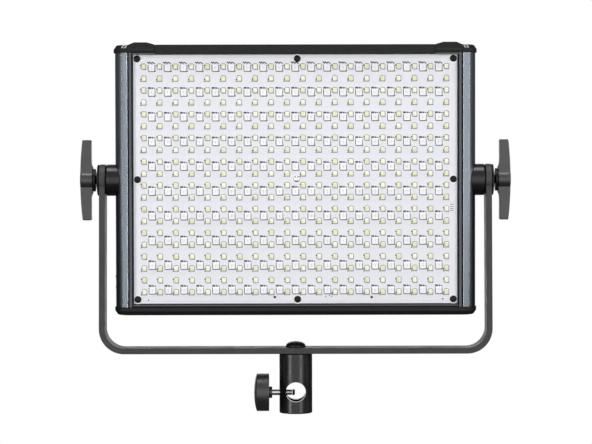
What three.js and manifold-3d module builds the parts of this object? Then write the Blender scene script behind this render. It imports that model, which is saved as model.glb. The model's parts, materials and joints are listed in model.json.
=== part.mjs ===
// LED panel light on a yoke, in millimetres, +Z up, front facing -Y.
// The origin is the centre of the stand receiver's mouth, under the yoke.

import * as THREE from 'three';
import { mergeVertices } from 'three/addons/utils/BufferGeometryUtils.js';
import Module from 'manifold-3d';

const wasm = await Module();
wasm.setup();

// ---------------------------------------------------------------- driving dimensions

const GAP = 0.3; // clearance between two pieces that touch
const PIVOT_Z = 206; // height of the tilt axis
const SIDES = [{ name: 'left', sign: -1 }, { name: 'right', sign: 1 }];

const YOKE = { outer: 172.7, thickness: 5.2, width: 25, barTop: 58.1, bendInner: 17, earRadius: 13.9 };
const RECEIVER = { radius: 14.6, bore: 8.25, boreDepth: 40, mouthChamfer: 1, crossHole: 8.8, crossZ: 19.3 };
const BOLT = { headRadius: 8.9, headHeight: 4.7, shank: 3.9, tip: 44.5 };
const CLAMP = { z: 18, screw: 2.7, tip: -0.8, padLength: 2.2, knobRadius: 16.6, knobOuter: -36.9 };
const KNOB = { inner: -23.6, collar: 5.25, collarEnd: -20.9, screwEnd: -31 };

const STUD = { radius: 3.9, hole: 4.3, tip: 148.5, head: 184 };
const EAR_WASHER = { start: YOKE.outer + GAP, end: 174.4 };
const THRUST = { radius: 10, start: 176.2, end: 178.1 };
const HANDLE = { tip: 35.4, inner: 179.9, outerTip: 187.6, outerMid: 189.6, halfThickness: 4.6, hubRadius: 7.8 };
const HUB = { radius: 13.9, inner: 150, outer: YOKE.outer - YOKE.thickness - GAP, chamfer: 1.4 };
const NUT = { start: 146.3, end: 154.6, halfY: 8, halfZ: 9 };

// Plan of the panel body, shared by the side profiles and the end caps.
const BODY = { bullCentre: 135.7, bullRadius: 23, halfDepth: 18.6, inner: 143.3, halfHeight: 111.3 };
const SLOT = { inner: 145.3, outer: 146.7, floor: -13.5, undercut: 149.5, lip: -15.3 };
const CAVITY = { radius: 20.8, inner: 146, angle: 33 };
const LEDGE = { reach: 134, front: -9.3, back: -7.3 };
const CAP = { overhang: 1.2, height: 7, wall: 3.3, chamfer: 2.5, topFront: 0.5, lipHalf: 122, lipBottom: 110.4 };
const CAP_START = BODY.halfHeight + GAP;

const BOARD = { halfX: 141.8, top: 109.8, bottom: -108.3, front: -14, thickness: 1.6 };
const PLATE = { halfX: 141.6, front: BOARD.front + BOARD.thickness + GAP, thickness: 2.5 };
const RAIL = { halfX: 143, front: -16, back: 18.3, wall: 1.2 };
const SCREW = { head: 3, headHeight: 1.9, shank: 1.5, hole: 1.8, length: 8 };
const SCREW_X = [-138.4, 1.8, 138.4];
const SCREW_Z = { upper: 106.2, middle: 0.6, lower: -104.6 };
const CENTRE_SCREW = { x: 1.1, z: 0.9 };
const SINK = { halfX: 120.8, halfZ: 100, base: 2.5, top: 6, fin: 1.6, pitch: 10, fins: 24 };

const LATCH = { inner: 122.8, outer: 146.4, bottom: 114.2, top: 120.5, front: -20.2 };
const LATCH_PIN = { y: -2.6, z: 116.7, radius: 1, hole: 1.3, barrel: 2.5, engage: 1.2 };

const COVER = { halfX: 142.8, front: 12, back: 18.6, wall: 2 };
const VENT = { centreX: 119, length: 30, width: 3.4, firstZ: -28, pitch: 10, count: 13 };
const CONTROL = { halfX: 92, bottom: 8, top: 98, face: 34, wall: 2, chamfer: 3, corner: 6 };
const DISPLAY = { halfX: 40, bottom: 52, top: 88, thickness: 1.6, border: 3 };
const DIAL = { z: 28, spacing: 60, radius: 12, height: 11.6, shaft: 3, hole: 3.5, shaftEnd: 26.3 };
const BUTTON = { x: 66, upperZ: 79, lowerZ: 61, halfX: 5, halfZ: 3, proud: 1.6, flange: 1.2 };
const SWITCH = { x: 118, z: -60, halfX: 7.5, halfZ: 10.5, bezel: 20.9, axisY: 17, tilt: 9 };
const INLET = { x: 118, z: -88, flange: 10.5, barrel: 8, bore: 6.5, face: 20.9, floor: 11, rear: 8 };
const DATA = { x: -118, z: -60, halfX: 8, halfZ: 6.75, openX: 5.9, openZ: 4, face: 19.4, rear: 8 };

const BATTERY = { halfX: 46, bottom: -104, top: -4, face: 38, wall: 4, corner: 5, floor: 31, pocket: 28.5 };
const WEDGE = { topHalf: 24, bottomHalf: 15, bottomZ: -76, undercut: 3, lip: 34.2 };
const LOCK = { z: -24, radius: 3, hole: 3.4, tip: 36, root: 23.6 };
const RELEASE = { z: -24, halfZ: 7, y: 24.4, halfY: 2.5, outer: 50, flange: 1.2, root: 38 };
const CONTACT = { halfX: 9, bottom: -74, top: -66, face: 36.5, bladeX: 5, bladeEnd: -60 };
const SIDE_PORT = { z: -89.7, halfY: 4, halfZ: 9, floor: 157.3, face: 158.4, screwPitch: 9.3 };

const REAR_START = COVER.back + GAP; // where pieces on the rear cover begin

// ---------------------------------------------------------------- finishes

const finish = (color, roughness, metalness) =>
  new THREE.MeshStandardMaterial({ color, roughness, metalness, flatShading: true });

const powderCoat = finish(0x3c3d40, 0.6, 0.4);
const satinBlack = finish(0x1d1e20, 0.4, 0.5);
const anodised = finish(0x747c86, 0.35, 0.9);
const darkAnodised = finish(0x3c424c, 0.4, 0.8);
const bareAluminium = finish(0xb4b8bc, 0.4, 0.9);
const steel = finish(0xc4c6c8, 0.3, 1);
const blackSteel = finish(0x141416, 0.4, 0.8);
const capPlastic = finish(0x2e2f31, 0.55, 0);
const knobPlastic = finish(0x37383b, 0.5, 0);
const boardWhite = finish(0xeaecf2, 0.5, 0);
const circuitGreen = finish(0x1f5a3a, 0.5, 0.1);
const displayGlass = finish(0x0c1014, 0.1, 0);
const brass = finish(0xb79a52, 0.35, 1);

// ---------------------------------------------------------------- solids

/** A closed manifold-3d solid from a three.js geometry. */
function toSolid(geometry) {
  const source = geometry.clone();
  source.deleteAttribute('normal');
  source.deleteAttribute('uv');
  const merged = mergeVertices(source, 1e-3);
  const corners = merged.index.array;
  const triangles = [];
  for (let i = 0; i < corners.length; i += 3) {
    const [a, b, c] = corners.slice(i, i + 3);
    if (a !== b && b !== c && c !== a) triangles.push(a, b, c);
  }
  const vertProperties = new Float32Array(merged.attributes.position.array);
  return new wasm.Manifold(new wasm.Mesh({ numProp: 3, vertProperties, triVerts: new Uint32Array(triangles) }));
}

/** A three.js geometry from a manifold-3d solid. */
function toGeometry(solid) {
  const mesh = solid.getMesh();
  const geometry = new THREE.BufferGeometry();
  geometry.setAttribute('position', new THREE.BufferAttribute(mesh.vertProperties, 3));
  geometry.setIndex(new THREE.BufferAttribute(mesh.triVerts, 1));
  return geometry;
}

const combine = (operation, first, others) =>
  toGeometry(others.reduce((sum, other) => sum[operation](toSolid(other)), toSolid(first)));
const cut = (body, ...tools) => combine('subtract', body, tools);
const join = (body, ...more) => combine('add', body, more);
const common = (body, ...others) => combine('intersect', body, others);

const X = new THREE.Vector3(1, 0, 0);
const Y = new THREE.Vector3(0, 1, 0);
const Z = new THREE.Vector3(0, 0, 1);
const basis = (x, y, z) => new THREE.Matrix4().makeBasis(x, y, z);

// Turned pieces are made about their local Y; these carry that axis to X, Y or Z.
const TURN = { x: basis(Z, X, Y), y: basis(X, Y, Z), z: basis(Y, Z, X) };

// Prisms are drawn in a plane and pushed along its normal. The drawing's two axes are
// Y and Z for 'x', X and Z for 'y', and X and Y for 'z'.
const DRAW = { x: basis(Y, Z, X), y: basis(X, Z, Y.clone().negate()), z: basis(X, Y, Z) };

function box(x, y, z) {
  const size = [x, y, z].map(([low, high]) => high - low);
  const middle = [x, y, z].map(([low, high]) => (low + high) / 2);
  return new THREE.BoxGeometry(...size).translate(...middle);
}

/** A cylinder along an axis between two places on it. */
function rod(axis, radius, from, to, sides = 16) {
  const geometry = new THREE.CylinderGeometry(radius, radius, to - from, sides);
  return geometry.translate(0, (from + to) / 2, 0).applyMatrix4(TURN[axis]);
}

/** A turned piece from [radius, place] points that run from low to high along the axis. */
function turned(axis, points, sides = 24) {
  const profile = points.map(([radius, place]) => new THREE.Vector2(radius, place));
  return new THREE.LatheGeometry(profile, sides).applyMatrix4(TURN[axis]);
}

/** A turned ring of rectangular section. */
function ring(axis, inner, outer, from, to, sides = 28) {
  return turned(axis, [[inner, from], [outer, from], [outer, to], [inner, to], [inner, from]], sides);
}

/** A prism of a drawn outline, with holes, along an axis between two places on it. */
function prism(axis, outline, from, to, holes = []) {
  const shape = outline instanceof THREE.Shape ? outline : polygon(outline);
  holes.forEach((hole) => shape.holes.push(polygon(hole)));
  const geometry = new THREE.ExtrudeGeometry(shape, { depth: to - from, bevelEnabled: false, curveSegments: 8 });
  const start = axis === 'y' ? -to : from;
  return geometry.translate(0, 0, start).applyMatrix4(DRAW[axis]);
}

const polygon = (points) => new THREE.Shape(points.map(([a, b]) => new THREE.Vector2(a, b)));

/** Points on an arc, ends included, with the angles in degrees. */
function arc(centreX, centreY, radius, from, to, steps) {
  return Array.from({ length: steps + 1 }, (_, i) => {
    const angle = THREE.MathUtils.degToRad(from + ((to - from) * i) / steps);
    return [centreX + radius * Math.cos(angle), centreY + radius * Math.sin(angle)];
  });
}

const circle = (centreX, centreY, radius, sides = 10) =>
  arc(centreX, centreY, radius, 0, 360, sides).slice(0, -1);

/** A closed skin through outlines of equal point count, each at its own height along Z. */
function loft(outlines, heights) {
  const count = outlines[0].length;
  const positions = outlines.flatMap((outline, level) => outline.flatMap(([a, b]) => [a, b, heights[level]]));
  const index = [];
  for (let level = 0; level < outlines.length - 1; level += 1) {
    for (let i = 0; i < count; i += 1) {
      const a = level * count + i;
      const b = level * count + ((i + 1) % count);
      index.push(a, b, b + count, a, b + count, a + count);
    }
  }
  const flat = outlines[0].map(([a, b]) => new THREE.Vector2(a, b));
  const topStart = (outlines.length - 1) * count;
  for (const [a, b, c] of THREE.ShapeUtils.triangulateShape(flat, [])) {
    index.push(c, b, a, topStart + a, topStart + b, topStart + c);
  }
  const geometry = new THREE.BufferGeometry();
  geometry.setAttribute('position', new THREE.Float32BufferAttribute(positions, 3));
  geometry.setIndex(index);
  return geometry;
}

/** A block with rounded corners whose face, at the far +Y end, has a chamfered edge. */
function facedBlock(halfX, bottom, top, corner, back, face, chamfer) {
  const outline = (inset) => roundedRectangle(halfX - inset, -top + inset, -bottom - inset, corner - inset / 2);
  const skin = loft([outline(0), outline(0), outline(chamfer)], [back, face - chamfer, face]);
  return skin.rotateX(-Math.PI / 2);
}

function roundedRectangle(half, low, high, radius, steps = 4) {
  return [
    ...arc(half - radius, high - radius, radius, 0, 90, steps),
    ...arc(-half + radius, high - radius, radius, 90, 180, steps),
    ...arc(-half + radius, low + radius, radius, 180, 270, steps),
    ...arc(half - radius, low + radius, radius, 270, 360, steps),
  ];
}

function part(name, geometry, material) {
  const mesh = new THREE.Mesh(geometry, material);
  mesh.name = name;
  return mesh;
}

/** A piece made for the right-hand side, turned half round to the left where needed. */
function sidePart(side, name, geometry, material) {
  const mesh = part(`${side.name}_${name}`, geometry, material);
  mesh.rotation.z = side.sign < 0 ? Math.PI : 0;
  return mesh;
}

const mirrored = (outline, sign) =>
  sign > 0 ? outline : outline.map(([a, b]) => [-a, b]).reverse();

// ---------------------------------------------------------------- yoke and stand receiver

/** Flat strip bent into a U, with a round ear on each end. */
function yokeBracket() {
  const { outer, thickness, width, barTop, bendInner, earRadius } = YOKE;
  const inner = outer - thickness;
  const bend = { x: inner - bendInner, z: barTop + bendInner };
  const half = (radius) => arc(bend.x, bend.z, radius, -90, 0, 8);
  const right = half(bendInner + thickness);
  const rightInner = half(bendInner).reverse();
  const leftOf = (points) => points.map(([x, z]) => [-x, z]).reverse();
  const outline = [
    ...right, [outer, PIVOT_Z], [inner, PIVOT_Z], ...rightInner,
    ...leftOf(rightInner), [-inner, PIVOT_Z], [-outer, PIVOT_Z], ...leftOf(right),
  ];
  const strip = prism('y', outline, -width / 2, width / 2);
  const ears = SIDES.map(({ sign }) => {
    const span = sign > 0 ? [inner, outer] : [-outer, -inner];
    return rod('x', earRadius, ...span, 28).translate(0, 0, PIVOT_Z);
  });
  const pivotHole = rod('x', STUD.hole, -outer - 1, outer + 1).translate(0, 0, PIVOT_Z);
  const boltHole = rod('z', BOLT.shank + GAP, barTop - thickness - 1, barTop + 1);
  return cut(join(strip, ...ears), pivotHole, boltHole);
}

/** Barrel that slips over a stand's stud. */
function receiverBarrel() {
  const top = YOKE.barTop - YOKE.thickness - GAP;
  const { radius, bore, boreDepth, mouthChamfer, crossHole, crossZ } = RECEIVER;
  const edge = 0.9;
  const barrel = turned('z', [
    [0, 0], [radius - edge, 0], [radius, edge], [radius, top - edge], [radius - edge, top], [0, top],
  ], 32);
  const socket = turned('z', [
    [0, -1], [bore + mouthChamfer * 2, -1], [bore, mouthChamfer], [bore, boreDepth], [0, boreDepth],
  ], 24);
  const window = rod('y', crossHole, -radius - 1, radius + 1, 24).translate(0, 0, crossZ);
  const screwHole = rod('x', CLAMP.screw + 2 * GAP, -radius - 1, -bore + 1).translate(0, 0, CLAMP.z);
  const boltHole = rod('z', BOLT.shank + GAP, BOLT.tip - GAP, top + 1);
  return cut(barrel, socket, window, screwHole, boltHole);
}

/** Dome-headed bolt with a hexagon socket, down through the yoke into the receiver. */
function receiverBolt() {
  const seat = YOKE.barTop + GAP;
  const { headRadius, headHeight, shank, tip } = BOLT;
  const socketRadius = 3;
  const bolt = turned('z', [
    [0, tip], [shank, tip], [shank, seat], [headRadius, seat], [headRadius * 0.97, seat + headHeight * 0.35],
    [headRadius * 0.8, seat + headHeight * 0.75], [headRadius * 0.45, seat + headHeight], [0, seat + headHeight],
  ]);
  const socket = rod('z', socketRadius, seat + headHeight / 2, seat + headHeight + 1, 6);
  return cut(bolt, socket);
}

const clampTip = CLAMP.tip - CLAMP.padLength;

/** Loose pad on the end of the clamp screw, which presses on the stud. */
const clampPad = () => rod('x', CLAMP.screw - 0.1, clampTip, CLAMP.tip).translate(0, 0, CLAMP.z);

const clampScrew = () => rod('x', CLAMP.screw, KNOB.screwEnd, clampTip - GAP).translate(0, 0, CLAMP.z);

/** Round knob with a crowned outer face and a collar round its screw. */
function clampKnob() {
  const { knobRadius: radius, knobOuter: outer } = CLAMP;
  const { inner, collar, collarEnd, screwEnd } = KNOB;
  const knob = turned('x', [
    [0, outer], [radius * 0.5, outer + 0.4], [radius * 0.8, outer + 1.2], [radius - 0.8, outer + 2], [radius, outer + 2.8],
    [radius, inner - 1.4], [radius - 1.2, inner], [collar, inner], [collar, collarEnd], [0, collarEnd],
  ], 28);
  const hole = rod('x', CLAMP.screw + GAP, screwEnd - GAP, collarEnd + 1);
  return cut(knob, hole).translate(0, 0, CLAMP.z);
}

// ---------------------------------------------------------------- tilt clamps

const earWasher = () => ring('x', STUD.hole, YOKE.earRadius, EAR_WASHER.start, EAR_WASHER.end);
const thrustWasher = () => ring('x', STUD.hole, THRUST.radius, THRUST.start, THRUST.end);
const clampStud = () => rod('x', STUD.radius, STUD.tip, STUD.head);

/** Outline of the T-handle's two wings, seen from the front. */
function wingOutline() {
  const { tip, inner, outerTip, outerMid } = HANDLE;
  const base = THRUST.end + GAP;
  const round = 1.8;
  const shape = new THREE.Shape();
  shape.moveTo(outerTip, round - tip);
  shape.quadraticCurveTo(2 * outerMid - outerTip, 0, outerTip, tip - round);
  shape.quadraticCurveTo(outerTip, tip, outerTip - round, tip);
  shape.lineTo(inner + round, tip);
  shape.quadraticCurveTo(inner, tip, inner, tip - round);
  shape.lineTo(inner, 16);
  shape.quadraticCurveTo(inner - 0.1, 12.8, base, 11.6);
  shape.lineTo(base, -11.6);
  shape.quadraticCurveTo(inner - 0.1, -12.8, inner, -16);
  shape.lineTo(inner, round - tip);
  shape.quadraticCurveTo(inner, -tip, inner + round, -tip);
  shape.lineTo(outerTip - round, -tip);
  shape.quadraticCurveTo(outerTip, -tip, outerTip, round - tip);
  return shape;
}

/** T-handle: two flat wings through a round hub that holds the stud. */
function tHandle() {
  const { halfThickness, hubRadius, outerMid } = HANDLE;
  const bevel = 1.2;
  const wings = new THREE.ExtrudeGeometry(wingOutline(), {
    depth: 2 * (halfThickness - bevel),
    bevelThickness: bevel,
    bevelSize: bevel,
    bevelOffset: -bevel,
    bevelSegments: 1,
    curveSegments: 5,
  });
  wings.translate(0, 0, bevel - halfThickness).applyMatrix4(DRAW.y);
  const start = THRUST.end + GAP;
  const end = outerMid - 0.4;
  const hub = turned('x', [
    [0, start], [hubRadius, start], [hubRadius, end - 1.2], [hubRadius - 1.2, end], [0, end],
  ]);
  const hole = rod('x', STUD.radius + GAP, start - 1, STUD.head + GAP);
  return cut(join(wings, hub), hole);
}

/** Round hub that spaces the yoke's ear from the panel and fits its rounded side. */
function pivotHub() {
  const { radius, inner, outer, chamfer } = HUB;
  const blank = turned('x', [
    [0, inner], [radius, inner], [radius, outer - chamfer], [radius - chamfer, outer], [0, outer],
  ], 28);
  const bullnose = rod('z', BODY.bullRadius + GAP, -radius - 1, radius + 1, 60).translate(BODY.bullCentre, 0, 0);
  const hole = rod('x', STUD.hole, inner - 1, outer + 1);
  return cut(blank, bullnose, hole);
}

/** Threaded block inside the side profile, which the stud screws into. */
function hubNut() {
  const { start, end, halfY, halfZ } = NUT;
  const block = box([start, end], [-halfY, halfY], [-halfZ, halfZ]);
  return cut(block, rod('x', STUD.radius + GAP, start - 1, end + 1));
}

// ---------------------------------------------------------------- panel body

/** Section of the right side profile: a half-round outside, an accessory slot and a ledge. */
function profileSection() {
  const { bullCentre, bullRadius, halfDepth, inner } = BODY;
  return [
    [inner, -halfDepth], [SLOT.inner, -halfDepth], [SLOT.inner, SLOT.floor], [SLOT.undercut, SLOT.floor],
    [SLOT.undercut, SLOT.lip], [SLOT.outer, SLOT.lip], [SLOT.outer, -halfDepth],
    ...arc(bullCentre, 0, bullRadius, -45, 45, 14),
    [SLOT.outer, halfDepth], [inner, halfDepth], [inner, LEDGE.back], [LEDGE.reach, LEDGE.back],
    [LEDGE.reach, LEDGE.front], [inner, LEDGE.front],
  ];
}

function cavitySection() {
  const wall = arc(BODY.bullCentre, 0, CAVITY.radius, -CAVITY.angle, CAVITY.angle, 8);
  return [[CAVITY.inner, wall[0][1]], ...wall, [CAVITY.inner, wall.at(-1)[1]]];
}

const span = (sign, from, to) => (sign > 0 ? [from, to] : [-to, -from]);

/** Aluminium side profile, with its ledge trimmed at both ends to clear the rails. */
function sideProfile(sign) {
  const { halfHeight, inner } = BODY;
  const length = prism('z', mirrored(profileSection(), sign), -halfHeight, halfHeight, [
    mirrored(cavitySection(), sign),
  ]);
  const ledgeX = span(sign, LEDGE.reach - 1, inner);
  const ledgeY = [LEDGE.front - 0.2, LEDGE.back + 0.2];
  const trims = [[BOARD.top, halfHeight + 1], [-halfHeight - 1, BOARD.bottom]].map((z) => box(ledgeX, ledgeY, z));
  const studHole = rod('x', STUD.hole, ...span(sign, NUT.end, BODY.bullCentre + BODY.bullRadius + 1));
  const screwHoles = Object.values(SCREW_Z).map((z) =>
    rod('y', SCREW.hole, LEDGE.front - 1, LEDGE.back + 1, 12).translate(sign * SCREW_X[2], 0, z));
  return cut(length, ...trims, studHole, ...screwHoles);
}

/** The left profile also has a shallow flat for the side port, with an opening behind it. */
function leftProfile() {
  const { z, halfY, halfZ, floor } = SIDE_PORT;
  const outside = -BODY.bullCentre - BODY.bullRadius - 1;
  const flat = box([outside, -floor], [-halfY - GAP, halfY + GAP], [z - halfZ - GAP, z + halfZ + GAP]);
  const opening = sidePortOpening(outside, -CAVITY.inner - 5);
  return cut(sideProfile(-1), flat, opening);
}

const sidePortOpening = (from, to) =>
  box([from, to], [-2.6, 2.6], [SIDE_PORT.z - 1.6, SIDE_PORT.z + 1.6]);

function sidePortPlate() {
  const { z, halfY, halfZ, floor, face } = SIDE_PORT;
  const plate = box([-face, -floor - GAP], [-halfY, halfY], [z - halfZ, z + halfZ]);
  return cut(plate, sidePortOpening(-face - 1, -floor));
}

/** Plan of an end cap, drawn in by one inset at its round ends and another at front and back. */
function capPlan(endInset, faceInset) {
  const radius = BODY.bullRadius + CAP.overhang - endInset;
  const depth = BODY.halfDepth + CAP.overhang - faceInset;
  const corner = SLOT.outer + CAP.overhang / 2 - (endInset - faceInset) / 2;
  const right = [[corner, -depth], ...arc(BODY.bullCentre, 0, radius, -45, 45, 12), [corner, depth]];
  return [...right, ...right.map(([x, y]) => [-x, -y])];
}

/** Moulded end cap lying on the ends of the side profiles, chamfered round its outside. */
function capBlank(faceChamfer) {
  const heights = [CAP_START, CAP_START + CAP.wall, CAP_START + CAP.height];
  return loft([capPlan(0, 0), capPlan(0, 0), capPlan(CAP.chamfer, faceChamfer)], heights);
}

function topCap() {
  const depth = BODY.halfDepth + CAP.overhang;
  const lipX = [-CAP.lipHalf, CAP.lipHalf];
  const lip = box(lipX, [-depth, RAIL.front - 0.6], [CAP.lipBottom, CAP_START + 1]);
  const pockets = SIDES.flatMap(({ sign }) => {
    const walls = span(sign, LATCH.inner - GAP - 0.1, LATCH.outer + GAP + 0.1);
    const pinSpan = span(sign, LATCH.inner - LATCH_PIN.engage - 2 * GAP, LATCH.outer + LATCH_PIN.engage + 2 * GAP);
    const pocket = box(walls, [-depth - 1, LATCH_PIN.barrel - 0.9], [LATCH.bottom - GAP, LATCH.top + 1]);
    const pinHole = rod('x', LATCH_PIN.hole, ...pinSpan, 12).translate(0, LATCH_PIN.y, LATCH_PIN.z);
    return [pocket, pinHole];
  });
  return cut(join(capBlank(CAP.topFront), lip), ...pockets);
}

const bottomCap = () => capBlank(CAP.chamfer).rotateX(Math.PI);

/** Flip-up latch over the top end of an accessory slot. */
function slotLatch(sign) {
  const { inner, outer, bottom, top, front } = LATCH;
  const { y, z, barrel, hole } = LATCH_PIN;
  const seenFromFront = [
    [inner, bottom], [outer, bottom], [outer, 118.4], [outer - 5.6, top], [inner + 6.8, top], [inner, 118.6],
  ];
  const seenFromSide = [
    [front, bottom], ...arc(y, z, barrel, -90, 90, 8), [y - 5.4, top], [front + 2.7, top], [front, 118.1],
  ];
  const body = common(
    prism('y', mirrored(seenFromFront, sign), front, 1),
    prism('x', seenFromSide, ...span(sign, inner, outer)),
  );
  return cut(body, rod('x', hole, ...span(sign, inner - 1, outer + 1), 12).translate(0, y, z));
}

function latchPin(sign) {
  const { y, z, radius, engage } = LATCH_PIN;
  const ends = span(sign, LATCH.inner - engage, LATCH.outer + engage);
  return rod('x', radius, ...ends, 12).translate(0, y, z);
}

/** Thin channel that closes the body between the board's edge and an end cap. */
function rail(low, high, openingUp) {
  const { halfX, front, back, wall } = RAIL;
  const block = box([-halfX, halfX], [front, back], [low, high]);
  if (high - low < 2 * wall) return block;
  const channelZ = openingUp ? [low + wall, high + 1] : [low - 1, high - wall];
  return cut(block, box([-halfX - 1, halfX + 1], [front + wall, back - wall], channelZ));
}

const boardHoles = () => [
  ...SCREW_X.flatMap((x) => [circle(x, SCREW_Z.upper, SCREW.hole), circle(x, SCREW_Z.lower, SCREW.hole)]),
  circle(SCREW_X[0], SCREW_Z.middle, SCREW.hole),
  circle(SCREW_X[2], SCREW_Z.middle, SCREW.hole),
  circle(CENTRE_SCREW.x, CENTRE_SCREW.z, SCREW.hole),
];

/** A plate of the board's height with the board's screw holes. */
function holedPlate(halfX, front, thickness) {
  const outline = [[-halfX, BOARD.bottom], [halfX, BOARD.bottom], [halfX, BOARD.top], [-halfX, BOARD.top]];
  return prism('y', outline, front, front + thickness, boardHoles());
}

/** Comb-shaped heat sink with upright fins, clear of the middle screw. */
function heatSink() {
  const { halfX, halfZ, base, top, fin, pitch, fins } = SINK;
  const front = PLATE.front + PLATE.thickness + GAP;
  const root = front + base;
  const teeth = Array.from({ length: fins }, (_, i) => {
    const middle = ((fins - 1) / 2 - i) * pitch;
    return [[middle + fin / 2, root], [middle + fin / 2, top], [middle - fin / 2, top], [middle - fin / 2, root]];
  }).flat();
  const comb = prism('z', [[-halfX, front], [halfX, front], [halfX, root], ...teeth, [-halfX, root]], -halfZ, halfZ);
  return cut(comb, rod('y', SCREW.hole, front - 1, root + 1, 12).translate(CENTRE_SCREW.x, 0, CENTRE_SCREW.z));
}

/** Pan-head screw driven in from the front, its head on the board. */
function panScrew(x, z) {
  const seat = BOARD.front - GAP;
  const { head, headHeight, shank, length } = SCREW;
  return turned('y', [
    [0, seat - headHeight], [head * 0.6, seat - headHeight * 0.92], [head * 0.93, seat - headHeight * 0.55],
    [head, seat], [shank, seat], [shank, seat + length], [0, seat + length],
  ], 10).translate(x, 0, z);
}

function boardScrews() {
  const rows = Object.entries(SCREW_Z);
  const columns = [['left', SCREW_X[0]], ['middle', SCREW_X[1]], ['right', SCREW_X[2]]];
  const edge = rows.flatMap(([row, z]) => columns
    .filter(([column]) => row !== 'middle' || column !== 'middle')
    .map(([column, x]) => part(`board_screw_${row}_${column}`, panScrew(x, z), blackSteel)));
  return [...edge, part('board_screw_centre', panScrew(CENTRE_SCREW.x, CENTRE_SCREW.z), steel)];
}

// ---------------------------------------------------------------- electronics and rear

/** Driver board with its coils, capacitors and connectors. */
function driverBoard() {
  const board = { front: 7.5, back: 9.1 };
  const component = (x, z, height) => box(x, [board.back - 0.2, board.back + height], z);
  const capacitor = (x, z) => rod('y', 4, board.back - 0.2, 15.6, 14).translate(x, 0, z);
  return join(
    box([-62, 62], [board.front, board.back], [-96, -14]),
    component([-50, -26], [-46, -24], 6),
    component([-14, 10], [-46, -24], 6),
    component([26, 50], [-50, -30], 5),
    component([-52, -34], [-88, -80], 5.5),
    component([30, 54], [-90, -78], 4.5),
    capacitor(-20, -66),
    capacitor(-6, -66),
    capacitor(8, -66),
  );
}

/** Control board behind the housing, carrying the display module and the dial encoders. */
function controlBoard() {
  const board = { front: 20.5, back: 22.1 };
  const encoders = [-1, 0, 1].map((step) => {
    const x = step * DIAL.spacing;
    return box([x - 6, x + 6], [board.back - 0.2, DIAL.shaftEnd - GAP], [DIAL.z - 6, DIAL.z + 6]);
  });
  const module = box([-37, 37], [board.back - 0.2, 30], [DISPLAY.bottom + 3, DISPLAY.top - 3]);
  return join(box([-80, 80], [board.front, board.back], [14, 92]), module, ...encoders);
}

const ventOutline = (x, z) => {
  const half = VENT.length / 2;
  const tall = VENT.width / 2;
  return [
    [x - half, z], [x - half + tall, z - tall], [x + half - tall, z - tall],
    [x + half, z], [x + half - tall, z + tall], [x - half + tall, z + tall],
  ];
};

/** Rear cover: a shallow pan with vents, a switch well and openings for the sockets. */
function rearCover() {
  const { halfX, front, back, wall } = COVER;
  const pan = box([-halfX, halfX], [front, back], [BOARD.bottom, BOARD.top]);
  const inside = box(
    [wall - halfX, halfX - wall],
    [front - 1, back - wall],
    [BOARD.bottom + wall, BOARD.top - wall],
  );
  const vents = SIDES.flatMap(({ sign }) => Array.from({ length: VENT.count }, (_, i) =>
    prism('y', ventOutline(sign * VENT.centreX, VENT.firstZ + i * VENT.pitch), back - wall - 1, back + 1)));
  const bezel = box(
    [SWITCH.x - SWITCH.halfX, SWITCH.x + SWITCH.halfX],
    [front + GAP, SWITCH.bezel],
    [SWITCH.z - SWITCH.halfZ, SWITCH.z + SWITCH.halfZ],
  );
  const well = box(
    [SWITCH.x - 5.4, SWITCH.x + 5.4],
    [front + 1.5, SWITCH.bezel + 1],
    [SWITCH.z - 8.3, SWITCH.z + 8.3],
  );
  const inletHole = rod('y', INLET.barrel + GAP, back - wall - 1, back + 1).translate(INLET.x, 0, INLET.z);
  const dataHole = box(
    [DATA.x - DATA.halfX - GAP, DATA.x + DATA.halfX + GAP],
    [back - wall - 1, back + 1],
    [DATA.z - DATA.halfZ - GAP, DATA.z + DATA.halfZ + GAP],
  );
  return cut(join(cut(pan, inside), bezel), well, inletHole, dataHole, ...vents);
}

/** Rocker whose two faces meet in a shallow V, resting with its lower end pressed in. */
function powerRocker() {
  const section = [[-2.8, -2.2], [5, -7], [3.8, 0], [5, 7], [-2.8, 2.2]];
  const rocker = prism('x', section, -5, 5).rotateX(-THREE.MathUtils.degToRad(SWITCH.tilt));
  return rocker.translate(SWITCH.x, SWITCH.axisY, SWITCH.z);
}

/** Round power socket with two short contacts at the bottom of its bore. */
function powerInlet() {
  const { x, z, flange, barrel, bore, face, floor, rear } = INLET;
  const shell = turned('y', [
    [0, rear], [barrel, rear], [barrel, REAR_START], [flange, REAR_START], [flange, face - 0.6],
    [flange - 0.6, face], [bore, face], [bore, floor], [0, floor],
  ], 28);
  const contacts = [-2.4, 2.4].map((offset) => rod('y', 0.8, floor - 0.5, floor + 3.5, 8).translate(offset, 0, 0));
  return join(shell, ...contacts).translate(x, 0, z);
}

function dataPort() {
  const { x, z, halfX, halfZ, openX, openZ, face, rear } = DATA;
  const block = box([x - halfX, x + halfX], [rear, face], [z - halfZ, z + halfZ]);
  return cut(block, box([x - openX, x + openX], [rear + 1.5, face + 1], [z - openZ, z + openZ]));
}

const dialPlaces = [['brightness', -1], ['colour', 0], ['effect', 1]]
  .map(([use, step]) => ({ name: `${use}_dial`, x: step * DIAL.spacing }));

const buttonPlaces = [['menu', -1, BUTTON.upperZ], ['back', -1, BUTTON.lowerZ],
  ['mode', 1, BUTTON.upperZ], ['preset', 1, BUTTON.lowerZ]]
  .map(([use, sign, z]) => ({ name: `${use}_button`, x: sign * BUTTON.x, z }));

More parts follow.
